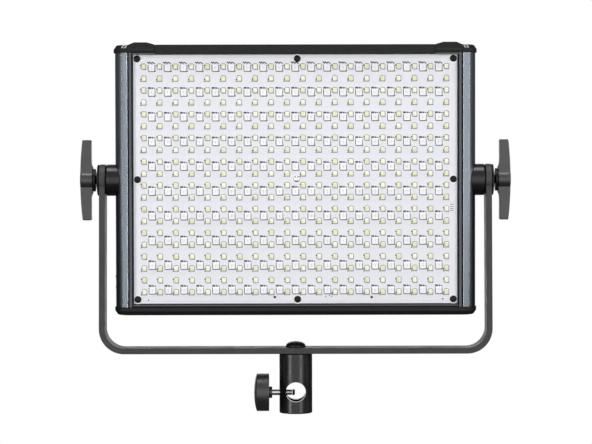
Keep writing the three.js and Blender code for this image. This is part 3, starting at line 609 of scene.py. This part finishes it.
def socket_clamp():
    """Crowned knob with a collar, its screw with a smooth shank, and the pad on the screw's end."""
    centre = (0, CLAMP["z"])
    radius, outer, inner = CLAMP["knob"], CLAMP["outer"], CLAMP["inner"]
    collar, collar_end, seat = CLAMP["collar"], CLAMP["collar_end"], CLAMP["screw_seat"]
    crown = [(radius * share, outer + 2.3 * share ** 2.4) for share in (0.02, 0.2, 0.4, 0.6, 0.75, 0.9)]
    corners = [
        crown[-1], (radius, outer + 2.5), (radius, inner), (collar + 3, inner), (collar, inner - 0.2),
        (collar, collar_end), (3, collar_end), (3, seat), (0.05, seat),
    ]
    profile = crown + rounded(corners, [0, 0.5, 0.7, 0.6, 0.4, 0.4, 0, 0, 0], 4, closed=False)[1:]
    stand_for("socket_clamp_knob", turned("x", profile, centre, 96), lift=0, smooth=30)
    low, high = span("socket_clamp_screw", "x")
    shank = rod("x", CLAMP["screw"] - 0.1, low, -14, centre, 48)
    thread = threaded("x", CLAMP["screw"], 1.0, -14.5, high, centre)
    stand_for("socket_clamp_screw", join(shank, thread), lift=0, smooth=60)
    low, high = span("socket_clamp_pad", "x")
    corners = [(0.05, low), (2.6, low), (2.6, high - 0.5), (2.1, high), (0.05, high)]
    pad = turned("x", corners, centre, 48)
    stand_for("socket_clamp_pad", pad, lift=0, material=FINISH["black_steel"])


# ---- tilt clamps

def handle_face():
    """Where a T-handle's boss starts, clear of the thrust washer."""
    return span("right_thrust_washer", "x")[1] + GAP


def washer(node, outer, chamfer):
    low, high = span(node, "x")
    corners = [(STUD_BORE, low), (outer, low), (outer, high), (STUD_BORE, high)]
    ring = turned("x", rounded(corners, [0.1, chamfer, chamfer, 0.1], 3), hollow=True)
    stand_for(node, ring, smooth=50)


def wing_outline(sign):
    """Outline of a T-handle's two wings in x and height, with a bowed outer edge."""
    tip, inner, outer_tip, outer_mid = (HANDLE[key] for key in ("tip", "inner", "outer_tip", "outer_mid"))
    bow = [(outer_mid - (outer_mid - outer_tip) * (z / tip) ** 2, z) for z in range(-30, 31, 5)]
    upper = [
        (outer_tip, tip), (inner - 0.1, tip), (inner, 20), (inner - 0.1, 15.5),
        (inner - 0.5, 13.2), (inner - 1.0, 12.0), (handle_face(), 11.2),
    ]
    lower = [(x, -z) for x, z in reversed(upper)]
    plain = [0] * (len(upper) - 2)
    radii = [0] * len(bow) + [1.3, 1.1] + plain + plain + [1.1, 1.3]
    return mirrored(rounded(bow + upper + lower, radii, 5), sign)


def t_handle(side, sign):
    """Two wings on a round boss, with a blind hole for the stud and a dimple in the outer end."""
    half_y, hub = HANDLE["half_y"], HANDLE["hub"]
    wings = prism("y", wing_outline(sign), -half_y, half_y)
    settle(soften(wings, 1.1, 3, 40))
    near, far = sign * handle_face(), sign * HANDLE["outer_mid"]
    corners = [(hub - 0.6, near), (hub, near + sign * 0.6), (hub, far - sign * 1.2), (hub - 1.2, far)]
    boss = turned("x", rounded(corners, 0.4, 3, closed=False), sides=72)
    bore = rod("x", 4.2, sign * 176, sign * 184.3)
    dimple = turned("x", [(3.2, sign * 188.8), (4.4, sign * 190.5)], sides=48)
    stand_for(f"{side}_t_handle", cut(join(wings, boss), bore, dimple), smooth=28)


def pivot_hub(side, sign):
    """Round hub whose inner end is hollowed to fit the panel's rounded side."""
    radius, outer, chamfer = HUB["radius"], HUB["outer"], HUB["chamfer"]
    corners = [
        (radius, 150), (radius, outer - chamfer), (radius - chamfer, outer), (STUD_BORE, outer), (STUD_BORE, 150),
    ]
    profile = [(reach, sign * x) for reach, x in rounded(corners, [0, 0.5, 0.5, 0, 0], 3)]
    blank = turned("x", profile, hollow=True, sides=96)
    saddle = prism("z", circle(sign * BODY["centre"], 0, BODY["radius"] + GAP, 160), -20, 20)
    stand_for(f"{side}_pivot_hub", cut(blank, saddle), smooth=25)


def tilt_clamps():
    for side, sign in SIDES.items():
        washer(f"{side}_ear_washer", 13.6, 0.45)
        washer(f"{side}_thrust_washer", 10, 0.35)
        low, high = span(f"{side}_clamp_stud", "x")
        stand_for(f"{side}_clamp_stud", threaded("x", 3.9, 1.25, low, high), smooth=60)
        t_handle(side, sign)
        pivot_hub(side, sign)


# ---- panel body

def profile_section():
    """Section of the right side profile with its long edges eased."""
    centre, radius, depth, inner = BODY["centre"], BODY["radius"], BODY["half_depth"], BODY["inner"]
    front = [
        (inner, -depth), (SLOT["inner"], -depth), (SLOT["inner"], SLOT["floor"] - 1.5),
        (SLOT["undercut"], SLOT["floor"] + 0.4),
        (SLOT["undercut"], SLOT["lip"]), (SLOT["outer"], SLOT["lip"]), (SLOT["outer"], -depth),
    ]
    round_side = arc(centre, 0, radius, -45, 45, 48)
    rear = [
        (SLOT["outer"], depth), (inner, depth), (inner, LEDGE["back"]), (LEDGE["reach"], LEDGE["back"]),
        (LEDGE["reach"], LEDGE["front"]), (inner, LEDGE["front"]),
    ]
    radii = [0.3, 0.3, 0.2, 0.2, 0.2, 0.2, 0.3] + [0.8] + [0] * 47 + [0.8] + [0.5, 0.5, 0.2, 0.3, 0.3, 0.2]
    return rounded(front + round_side + rear, radii, 3)


def cavity_section():
    """Section of the hollow inside the rounded side of the right profile."""
    wall = arc(BODY["centre"], 0, CAVITY["radius"], -CAVITY["angle"], CAVITY["angle"], 24)
    return [(CAVITY["inner"], wall[0][1]), *wall, (CAVITY["inner"], wall[-1][1])]


def side_profile(side, sign):
    """Extrusion cut back for the rails, the clamp stud and, on the left, the side sockets."""
    half = BODY["half_height"]
    length = prism("z", mirrored(profile_section(), sign), -half, half)
    tools = [prism("z", mirrored(cavity_section(), sign), -half - 1, half + 1)]
    for low, high in ((110.2, 113), (-113, -108)):
        x = sorted((sign * 133, sign * BODY["inner"]))
        tools.append(block(x, (LEDGE["front"] - 0.2, LEDGE["back"] + 0.2), (low, high)))
    tools.append(rod("x", STUD_BORE, sign * 154, sign * 160))
    if side == "left":
        low_z, high_z = (place - PIVOT for place in span("side_port_plate", "z"))
        y = [place + step for place, step in zip(span("side_port_plate", "y"), (-GAP, GAP))]
        tools.append(block((-160, -157.3), y, (low_z - GAP, high_z + GAP)))
        tools.append(block((-160, -150), (-2.6, 2.6), (low_z + 7.4, high_z - 7.4)))
    stand_for(f"{side}_profile", cut(length, *tools), smooth=14)


def cap_facet(end_inset, face_inset):
    """Plan of a cap's slanted corner, rear right: from its flat face to its round end."""
    reach = BODY["radius"] + CAP["overhang"] - end_inset
    corner_x = SLOT["outer"] + CAP["overhang"] / 2 - (end_inset - face_inset) / 2
    across, up = direction(45)
    end = BODY["centre"] + reach * across, reach * up
    return (corner_x, BODY["half_depth"] + CAP["overhang"] - face_inset), end


def cap_plan(inset, lean):
    """Plan of an end cap, drawn in by an inset at its ends and by a share of it at front and back."""
    corner = cap_facet(inset, inset * lean)[0]
    side = arc(BODY["centre"], 0, BODY["radius"] + CAP["overhang"] - inset, -45, 45, 40)
    right = [(corner[0], -corner[1]), *side, corner]
    points = right + [(-x, -y) for x, y in right]
    radii = ([0.8, 0.8] + [0] * 39 + [0.8, 0.8]) * 2
    return rounded(points, radii, 3)


def cap_blank(lean, drawn_in=0.0):
    """End cap as a loft: an upright wall, then a chamfer, with eased edges between them."""
    start, wall, top = CAP["start"], CAP["start"] + CAP["wall"], CAP["start"] + CAP["height"]
    corners = [(0, start), (0, wall), (CAP["chamfer"], top), (CAP["chamfer"] + 5, top)]
    line = [(0.3, start), (0.08, start + 0.08), (0, start + 0.3)]
    line += rounded(corners, [0, 0.9, 0.8, 0], 4, closed=False)[1:-1]
    return loft([[(x, y, z) for x, y in cap_plan(inset + drawn_in, lean)] for inset, z in line])


def latch_pocket(sign):
    """What is cut from the top cap to take a latch."""
    x = sorted(sign * place for place in (LATCH["inner"] - 0.5, LATCH["outer"] + 0.4))
    return block(x, (-25, 1.6), (LATCH["bottom"] - GAP, 125))


def top_cap():
    half = CAP["lip_half"]
    lip = block((-half, half), (-19.8, -16.6), (CAP["lip_bottom"], CAP["start"] + 1))
    pockets = [latch_pocket(sign) for sign in SIDES.values()]
    stand_for("top_cap", cut(join(cap_blank(TOP_CAP_LEAN), lip), *pockets), 0.2, 20, segments=2)


def bottom_cap():
    cap = cap_blank(1, 0.4)
    cap.data.transform(Matrix.Rotation(math.pi, 4, "X"))
    stand_for("bottom_cap", cap, smooth=20)


def slot_plates():
    """Light end plates of the accessory slots, on the slanted corners of the top cap."""
    wall = CAP["start"] + CAP["wall"]
    for side, sign in SIDES.items():
        rings = []
        for z in (115.5, 118.2):
            inset = max(0, (z - wall) / (CAP["height"] - CAP["wall"]) * CAP["chamfer"])
            corner, end = (Vector((sign * x, -y)) for x, y in cap_facet(inset, inset * TOP_CAP_LEAN))
            along = (end - corner).normalized()
            out = Vector((sign * 0.44, -0.9))
            near, far = corner + along * 0.5, end - along * 0.5
            plan = [near + out * 0.25, far + out * 0.25, far - out * 1.2, near - out * 1.2]
            rings.append([(x, y, z) for x, y in plan])
        on_head(loft(rings), f"{side}_slot_plate", "bare_aluminium", PLATE_GREY, 0.15)


def rail_edges():
    """Ends of the top rail's front lip, which show under the latches, and the lower rail's bead, in a lighter
    copy of the dark anodised finish that paints light on them.
    """
    front = span("top_rail", "y")[0]
    for side, sign in SIDES.items():
        x = sorted((sign * (CAP["lip_half"] + 0.5), sign * (BODY["inner"] - 0.4)))
        lip = block(x, (-18.6, front - 0.1), (109.6, 111.3))
        on_head(lip, f"{side}_rail_lip", "dark_anodised", RAIL_EDGE_LIT, 0.3)
    half = BODY["inner"] - 0.4
    bead = block((-half, half), (front - 0.8, front - 0.05), (-110.5, -109.5))
    on_head(bead, "bottom_rail_bead", "dark_anodised", RAIL_EDGE_LIT, 0.25)


def board_edges():
    """Black strips in the gaps beside the board's ends, and dark sheets on the profiles' lips next to them: both
    painted shade.
    """
    for side, sign in SIDES.items():
        x = sorted((sign * (span("led_board", "x")[1] + 0.1), sign * (BODY["inner"] - 0.1)))
        # black strip in the gap beside the board's end: painted shade
        strip = block(x, (BOARD_FRONT - 0.2, BOARD_FRONT + 1.6), (-107.9, 109.4))
        on_head(strip, f"{side}_board_gap_shade", "black_steel", bevel=0.2)
        x = sorted((sign * BODY["inner"], sign * (SLOT["inner"] + 0.05)))
        # dark sheet over the profile's lip: painted shade
        lip = block(x, (-BODY["half_depth"] - 0.12, -BODY["half_depth"] + 0.5), (-111.2, 111.2))
        on_head(lip, f"{side}_profile_lip_shade", "anodised", PROFILE_LIP_SHADE, 0.1)


def slot_latch(side, sign):
    """Flip-up latch: a crowned block with a raised lip to lift it by."""
    inner, outer, bottom, top = LATCH["inner"], LATCH["outer"], LATCH["bottom"], LATCH["top"]
    from_front = [
        (inner, 110), (outer, 110), (outer, 118.1),
        (outer - 5.6, top), (inner + 6.8, top), (inner, 118.6),
    ]
    front, y, z = LATCH["front"], LATCH["pin_y"], LATCH["pin_z"]
    from_side = [
        (front + 0.2, bottom), *arc(y, z, 2.5, -90, 90, 16), (y - 5.4, top),
        (front + 1.9, top), (front + 1.4, 119.7), (front + 0.1, 115.1),
        (front - 0.8, 113.7), (front - 0.8, 112.9), (front + 0.2, 112.9),
    ]
    body = prism("y", rounded(mirrored(from_front, sign), [0.3, 0.3, 1, 2, 2, 0.5], 4), front - 1, 1)
    side_view = prism("x", from_side, *sorted((sign * inner, sign * outer)))
    hole = rod("x", 1.3, -150, 150, (y, z), 24)
    latch = combine("INTERSECT", body, [side_view])
    stand_for(f"{side}_slot_latch", cut(latch, hole), 0.35, 25)


def pan_head_screw(x, z, seat, size, axis="y", facing=-1, sides=40):
    """Pan-head screw with a cross recess; facing is the way its head points along the axis."""
    head, height, shank = size["head"], size["height"], size["shank"]
    end = seat - facing * size["length"]
    crown = [(0.05, 1.0), (0.45, 0.97), (0.75, 0.84), (0.92, 0.6), (1.0, 0.25), (1.0, 0.0)]
    profile = [(head * share, seat + facing * height * rise) for share, rise in crown]
    profile += [(shank, seat), (shank, end), (0.05, end)]
    screw = turned(axis, profile, (x, z), sides)
    depth = sorted((seat + facing * height * 0.35, seat + facing * (height + 1)))
    arm, half = head * 0.56, head * 0.13
    cross = []
    for a, b in ((arm, half), (half, arm)):
        cross.append(prism(axis, rectangle((x - a, x + a), (z - b, z + b)), *depth))
    return cut(screw, *cross)


def board_screw_nodes():
    return [node for node in frame["nodes"] if node.startswith("board_screw_")]


def board_screws():
    for node in board_screw_nodes():
        screw = pan_head_screw(*middle_of(node), BOARD_FRONT - GAP, BOARD_SCREW)
        stand_for(node, screw, lift=0, smooth=40)


def side_port():
    """Screws of the side socket plate and the contact tongue in its opening."""
    face = span("side_port_plate", "x")[0]
    z = middle_of("side_port_plate")[1]
    for name, step in (("upper", 4.65), ("lower", -4.65)):
        screw = pan_head_screw(0, z + step, face, PORT_SCREW, "x", -1, 24)
        piece(screw, f"side_port_screw_{name}", "head", "steel", smooth=40)
    tongue = block((-158.2, -152), (-2.0, 2.0), (z - 0.35, z + 0.35))
    piece(tongue, "side_port_tongue", "head", "board_print", bevel=0.1)


# ---- light-emitting diodes, print and painted shadow

def grid(pattern, keep=lambda column, row: True):
    """Places of a pattern's diodes on the board's face."""
    places = []
    for row in range(pattern["rows"]):
        z = PIVOT + pattern["z"] - row * pattern["pitch_z"]
        for column in range(pattern["columns"]):
            if keep(column, row):
                places.append((pattern["x"] + column * pattern["pitch_x"], BOARD_FRONT, z))
    return places


def plate_rings(half_x, half_z, corner, stages):
    """Rings of a raised plate; each stage is (inset, height above the board)."""
    rings = []
    for inset, rise in stages:
        x, z = half_x - inset, half_z - inset
        outline = rectangle((-x, x), (-z, z), corner, 3)
        rings.append([(x, -rise, z) for x, z in outline])
    return rings


def frame_ring(half_x, half_z, inner_x, inner_z, corner, rise):
    """A flat ring round a diode."""
    outer = rectangle((-half_x, half_x), (-half_z, half_z), corner, 3)
    inner = rectangle((-inner_x, inner_x), (-inner_z, inner_z), corner * 0.6, 3)
    section = ((outer, 0.0), (outer, rise), (inner, rise), (inner, 0.0))
    return loft([[(x, -height, z) for x, z in ring] for ring, height in section], closed=True)


def strokes(*rows):
    """Flat bars on the board's face, for print and painted shadow, each from a start to an end at a width."""
    bars = []
    for start, end, width in rows:
        a, b = Vector(start), Vector(end)
        across = (b - a).orthogonal().normalized() * width / 2
        outline = [tuple(corner) for corner in (a + across, b + across, b - across, a - across)]
        bars.append(prism("y", outline, -0.05, 0))
    return bars


def white_diodes():
    """Small white packages, their solder darkened into a painted shadow round each package, and their resin
    windows in two tints by turns.
    """
    everywhere = grid(WHITE_LED)
    shell = loft(plate_rings(1.75, 2.1, 0.6, [(0, 0), (0, 0.6), (0.18, 0.78), (0.3, 0.78), (0.36, 0.7)]))
    spread([shell], everywhere, "white_diode_bodies", "led_body")
    # solder pads round the body, dark enough to paint its shadow
    solder = frame_ring(2.3, 2.75, 1.7, 2.05, 1.5, 0.12)
    spread([solder], everywhere, "white_diode_solder_and_shadow", material=SOLDER_SHADE_AND_CHIPS)
    for tint, parity in (("warm", 0), ("cool", 1)):
        window = loft(plate_rings(1.45, 1.8, 0.8, [(0, 0.66), (0.05, 0.76), (0.3, 0.86), (0.8, 0.92)]))
        places = grid(WHITE_LED, lambda column, row: (row + column) % 2 == parity)
        spread([window], places, f"white_diode_windows_{tint}", f"led_{tint}", smooth=60)


def colour_diodes():
    """Large square packages with a round cup of clear resin over three chips."""
    everywhere = grid(COLOUR_LED)
    shell = loft(plate_rings(2.6, 2.8, 0.2, [(0, 0), (0, 1.3), (0.2, 1.5), (2.4, 1.5)]))
    cup = turned("y", [(1.7, -1.1), (2.05, -2)], sides=32)
    spread([cut(shell, cup)], everywhere, "colour_diode_bodies", "led_body")
    resin = turned("y", [(1.72, -1.0), (1.8, -1.28), (0.9, -1.32), (0.05, -1.34)], sides=32)
    spread([resin], everywhere, "colour_diode_resin", "led_body", LED_RESIN, 60)
    chips = [block((-0.16, 0.16), (-1.42, -1.3), (z - 0.16, z + 0.16)) for z in (0.75, 0, -0.75)]
    spread(chips, everywhere, "colour_diode_chips", material=SOLDER_SHADE_AND_CHIPS)


def printed_marks():
    """Dark print round the diodes: lines beside them and short plain dashes, with no lettering; the lines below
    and right of each white diode are painted shadow.
    """
    beside = strokes(
        ((-3.0, 2.6), (-2.95, -2.6), 0.55), ((-2.9, -3.2), (2.7, -3.2), 0.7),
        ((3.0, 2.4), (3.0, -2.4), 0.5), ((2.4, -3.3), (3.7, -2.6), 0.9),
    )
    first_row = strokes(
        ((-3.7, 5.3), (-2.5, 3.9), 1.0), ((-2.6, 3.8), (-1.2, 5.3), 1.0), ((-1.3, 4.9), (0.0, 3.6), 0.9),
        ((0.1, 3.7), (0.8, 5.2), 0.8), ((1.0, 4.9), (3.1, 3.5), 0.9),
    )
    lower_rows = strokes(
        ((-3.3, 4.1), (-0.7, 4.1), 1.6), ((-0.3, 4.1), (1.5, 4.0), 1.3), ((1.9, 3.9), (3.2, 3.7), 0.8),
    )
    spread(beside, grid(COLOUR_LED), "print_round_colour_diodes")
    for name, dashes, first in (("first", first_row, True), ("lower", lower_rows, False)):
        places = grid(COLOUR_LED, lambda column, row: (row == 0) == first)
        spread(dashes, places, f"print_dashes_{name}")
    # dark lines below and to the right of each white diode, in the print's colour: painted shadow
    corner = strokes(((-1.7, -2.6), (2.0, -2.6), 0.45), ((2.15, -2.6), (2.15, 1.9), 0.4))
    spread(corner, grid(WHITE_LED), "shadow_corners_by_white_diodes")
    even = strokes(((-2.45, 0.2), (-2.45, 1.6), 1.3), ((-2.4, -1.8), (-2.0, -0.6), 0.8))
    odd = strokes(((-2.5, -1.6), (-2.45, -0.1), 1.1), ((-2.75, -3.0), (-2.6, -2.1), 1.1))
    for name, marks, parity in (("even", even, 0), ("odd", odd, 1)):
        places = grid(WHITE_LED, lambda column, row: row % 2 == parity)
        spread(marks, places, f"print_by_white_diodes_{name}")


def board_details():
    """Edge lines, test points and bare rings round the screws."""
    face = (0, BOARD_FRONT, PIVOT)
    lines = strokes(((-128, 107.2), (128, 107.2), 0.25), ((-141, -106.4), (141, -106.4), 0.3))
    spread(lines, [face], "board_edge_lines", material=PALE_PRINT)
    points = [(-18.3, -102.8, 1.2), (66.8, -102.9, 1.2), (-129.1, -105.3, 0.6), (129.2, -104.6, 0.7)]
    points += [(26.4, -102.3, 0.5), (29.7, -101.4, 0.5), (31.5, -102.3, 0.5)]
    dots = [prism("y", circle(x, z, radius, 24), -0.05, 0) for x, z, radius in points]
    ticks = strokes(*(((135.6, z), (138.6, z), 0.5) for z in (-21.6, -23.4, -25.2, -27)))
    spread(dots + ticks, [face], "board_test_points")
    front = BOARD_FRONT - 0.02
    corners = [(3.0, front), (4.1, front), (4.1, BOARD_FRONT), (3.0, BOARD_FRONT)]
    rings = [turned("y", corners, middle_of(node), 48, hollow=True) for node in board_screw_nodes()]
    piece(merged(rings), "board_screw_rings", "head", "led_body")


# ---- rear

def softened_copies():
    """Boxy pieces keep their CAD shape, with eased edges."""
    widths = {
        "top_rail": 0.2, "bottom_rail": 0.2, "rear_cover": 0.4, "power_rocker": 0.4, "data_port": 0.3,
        "control_housing": 0.5, "display_window": 0.2, "battery_plate": 0.5, "battery_contacts": 0.15,
        "battery_release": 0.4, "menu_button": 0.3, "back_button": 0.3, "mode_button": 0.3, "preset_button": 0.3,
        "battery_lock_pin": 0.2, "side_port_plate": 0.25,
    }
    for node, width in widths.items():
        stand_for(node, cad_copy(node), width, lift=0, segments=2)


def dial(name):
    """Knurled dial with a dished face and a pointer line."""
    node = f"{name}_dial"
    x, z = middle_of(node)
    rear, end = span(node, "y")
    radius, start, teeth, knurl = DIAL["radius"], DIAL["start"], DIAL["teeth"], DIAL["knurl"]
    sides = 4 * teeth
    stages = [
        (DIAL["shaft"], rear, 0), (DIAL["shaft"], start, 0), (radius - 0.4, start, 0), (radius, start + 0.4, 0),
        (radius, start + 1.2, 0), (radius, start + 1.6, knurl), (radius, end - 1.9, knurl),
        (radius - 0.4, end - 1.3, 0), (radius - 0.8, end - 0.5, 0), (radius - 1.5, end, 0),
        (radius - 2.4, end, 0), (radius - 2.8, end - 0.35, 0), (0.05, end - 0.5, 0),
    ]
    rings = []
    for radius, place, depth in stages:
        ring = []
        for side in range(sides):
            angle = 2 * math.pi * side / sides
            reach = radius - depth * (0.5 - 0.5 * math.cos(teeth * angle))
            ring.append((x + reach * math.cos(angle), place, z + reach * math.sin(angle)))
        rings.append(ring)
    stand_for(node, loft(rings), lift=0, smooth=40)
    pointer = block((x - 0.5, x + 0.5), (end - 0.6, end - 0.25), (z + 3.5, z + 8.6))
    piece(pointer, f"{name}_dial_pointer", f"{name}_knob", "board_print", PALE_PRINT, bevel=0.1)


def key_marks():
    """Plain signs on the keys: one to four short bars."""
    for name, count in (("menu", 3), ("back", 1), ("mode", 2), ("preset", 4)):
        x, z = middle_of(f"{name}_button")
        face = span(f"{name}_button", "y")[1]
        bars = []
        for i in range(count):
            bar_x = x + (i - (count - 1) / 2) * 1.5
            bars.append(block((bar_x - 0.4, bar_x + 0.4), (face - 0.05, face + 0.06), (z - 1.1, z + 1.1)))
        piece(merged(bars), f"{name}_button_mark", f"{name}_key", "board_print", PALE_PRINT)


def rocker_marks():
    """A bar and a ring on the two halves of the rocker, set at its resting tilt."""
    tilt = Matrix.Rotation(math.radians(ROCKER["tilt"]), 4, "X")
    bar = prism("y", rectangle((-0.35, 0.35), (-1.6, 1.6)), 0, 0.12)
    ring = turned("y", [(1.1, 0), (1.7, 0), (1.7, 0.12), (1.1, 0.12)], sides=32, hollow=True)
    for name, mark, side in (("bar", bar, 1), ("ring", ring, -1)):
        face_slope = side * math.atan2(1.2, 7)
        mark.data.transform(Matrix.Rotation(face_slope, 4, "X"))
        moved(mark, y=4.42, z=side * 3.6)
        mark.data.transform(tilt)
        moved(mark, ROCKER["x"], ROCKER["axis_y"], ROCKER["z"] + PIVOT)
        piece(mark, f"power_rocker_{name}", "rocker", "board_print", PALE_PRINT)


def display_signs():
    """Generic level bars and an outline of a battery, lit behind the display's window."""
    face = span("display_window", "y")[1]

    def bar(x, z):
        return block(x, (face - 0.05, face + 0.03), (z[0] + PIVOT, z[1] + PIVOT))

    tracks = [bar((-32, 14), (z, z + 1)) for z in (58, 66, 74)]
    outline = [bar((20, 32), z) for z in ((80, 80.5), (84.5, 85))]
    outline += [bar(x, (80, 85)) for x in ((20, 20.5), (31.5, 32))]
    values = [bar((x, x + 1.8), (z - 0.8, z + 2.2)) for z in (58, 66, 74) for x in (20, 23, 26, 29)]
    piece(merged(tracks + outline + values), "display_signs_white", "head", "display_glass", SIGN_WHITE)
    levels = [bar((-32, x), (z - 0.6, z + 1.6)) for x, z in ((6, 58), (-8, 66), (-20, 74))]
    cells = [bar((x, x + 2), (81.5, 83.5)) for x in (21.5, 24.5, 27.5)]
    piece(merged(levels + cells), "display_signs_blue", "head", "display_glass", SIGN_BLUE)


def power_inlet():
    """Round power socket with an eased collar and its two contacts."""
    x, z = middle_of("power_inlet")
    rear, face = span("power_inlet", "y")
    corners = [
        (0.05, rear), (8, rear), (8, 18.9), (10.5, 18.9), (10.5, face), (6.5, face), (6.5, 11), (0.05, 11),
    ]
    shell = turned("y", rounded(corners, [0, 0.3, 0, 0.2, 0.8, 0.4, 0.3, 0], 4, closed=False), (x, z))
    contact = rounded([(0.8, 10.5), (0.8, 14.5), (0.05, 14.5)], [0, 0.3, 0], 3, closed=False)
    pins = [turned("y", contact, (x + step, z), 24) for step in (-2.4, 2.4)]
    stand_for("power_inlet", join(shell, *pins), lift=0, smooth=35)


def data_contacts():
    """Row of gilt contacts inside the data socket."""
    x, z = middle_of("data_port")
    wires = []
    for i in range(-4, 4):
        wire_x = x + 1.02 * i
        wires.append(block((wire_x - 0.2, wire_x + 0.2), (10, 16), (z + 2.2, z + 2.7)))
    piece(merged(wires), "data_port_contacts", "head", "brass")


def rear_screws():
    """Small black screws that hold the rear cover and the battery plate."""
    cover = [
        (-136, -102.5), (-136, 105), (-62, -102.5), (-45, 105), (62, -102.5),
        (45, 105), (136, -102.5), (136, 105), (-136, 0), (136, 0),
    ]
    plate = [(-39, -11), (39, -11), (-39, -97), (39, -97)]
    cover_face = span("rear_cover", "y")[0] + 6.6
    rows = [("cover_screw", cover, cover_face, COVER_SCREW)]
    rows.append(("battery_plate_screw", plate, span("battery_plate", "y")[1], PLATE_SCREW))
    for name, places, face, size in rows:
        for number, (x, z) in enumerate(places, 1):
            screw = pan_head_screw(x, z + PIVOT, face, size, "y", 1, 32)
            piece(screw, f"{name}_{number}", "head", "black_steel", smooth=40)


def inner_nodes():
    """CAD nodes whose shape stays get their finish."""
    for name, node in frame["nodes"].items():
        if not node.hide_render:
            node.data.materials.clear()
            node.data.materials.append(FINISH[SLOT_OF[name]])


# ---- studio

def studio_lights():
    """Soft boxes round the object, all turned towards its tilt axis."""
    head = Vector((0, 0, PIVOT))
    for name, (place, size, power) in LIGHTS.items():
        data = bpy.data.lights.new(name, "AREA")
        data.shape = "RECTANGLE"
        data.size, data.size_y = (side * MM for side in size)
        data.energy = power
        light = placed(name, data)
        light.location = Vector(place) * MM
        light.rotation_euler = (head - Vector(place)).to_track_quat("-Z", "Y").to_euler()
        light.visible_camera = False


def backdrop():
    """White behind the object, with only dim light coming from it."""
    world = bpy.data.worlds.new("studio")
    bpy.context.scene.world = world
    world.use_nodes = True
    tree = world.node_tree
    tree.nodes.clear()
    dim = add_node(tree, "ShaderNodeBackground", Color=(0.08, 0.08, 0.085, 1), Strength=1.0)
    white = add_node(tree, "ShaderNodeBackground", Color=(1, 1, 1, 1), Strength=1.0)
    path = add_node(tree, "ShaderNodeLightPath")
    mix = add_node(tree, "ShaderNodeMixShader", [("Fac", path.outputs["Is Camera Ray"])])
    tree.links.new(dim.outputs["Background"], mix.inputs[1])
    tree.links.new(white.outputs["Background"], mix.inputs[2])
    add_node(tree, "ShaderNodeOutputWorld", [("Surface", mix.outputs["Shader"])])


def floor():
    """Pale floor below the light, round and slightly textured."""
    disc = rod("z", FLOOR["radius"], FLOOR["top"] - 2, FLOOR["top"], sides=96)
    disc.name = "studio_floor"
    material = coated("studio_floor", (0.82, 0.82, 0.82), 0.8, 4, 0.2, drift=0.01)
    disc.data.materials.append(material)
    disc.visible_glossy = False
    disc.visible_diffuse = False


def camera():
    """Long lens in front of the light, a little above its middle."""
    data = bpy.data.cameras.new("camera")
    data.lens = CAMERA["lens"]
    data.sensor_width = 36
    data.clip_start = 0.05
    data.clip_end = 20
    obj = placed("camera", data)
    obj.location = Vector((CAMERA["x"], -CAMERA["distance"], CAMERA["height"])) * MM
    aim = Vector((CAMERA["x"], 0, CAMERA["aim"])) * MM
    level = (aim - obj.location).to_track_quat("-Z", "Y")
    obj.rotation_euler = (level @ Quaternion((0, 0, 1), -math.radians(CAMERA["roll"]))).to_euler()
    bpy.context.scene.camera = obj


# ---- assembly

yoke_bracket()
receiver_barrel()
receiver_bolt()
socket_clamp()
tilt_clamps()
for side, sign in SIDES.items():
    side_profile(side, sign)
    slot_latch(side, sign)
top_cap()
bottom_cap()
slot_plates()
rail_edges()
board_edges()
board_screws()
side_port()
white_diodes()
colour_diodes()
printed_marks()
board_details()
softened_copies()
for name in ("brightness", "colour", "effect"):
    dial(name)
key_marks()
rocker_marks()
display_signs()
power_inlet()
data_contacts()
rear_screws()
inner_nodes()

studio_lights()
backdrop()
floor()
camera()
bpy.context.scene.view_settings.view_transform = "Standard"
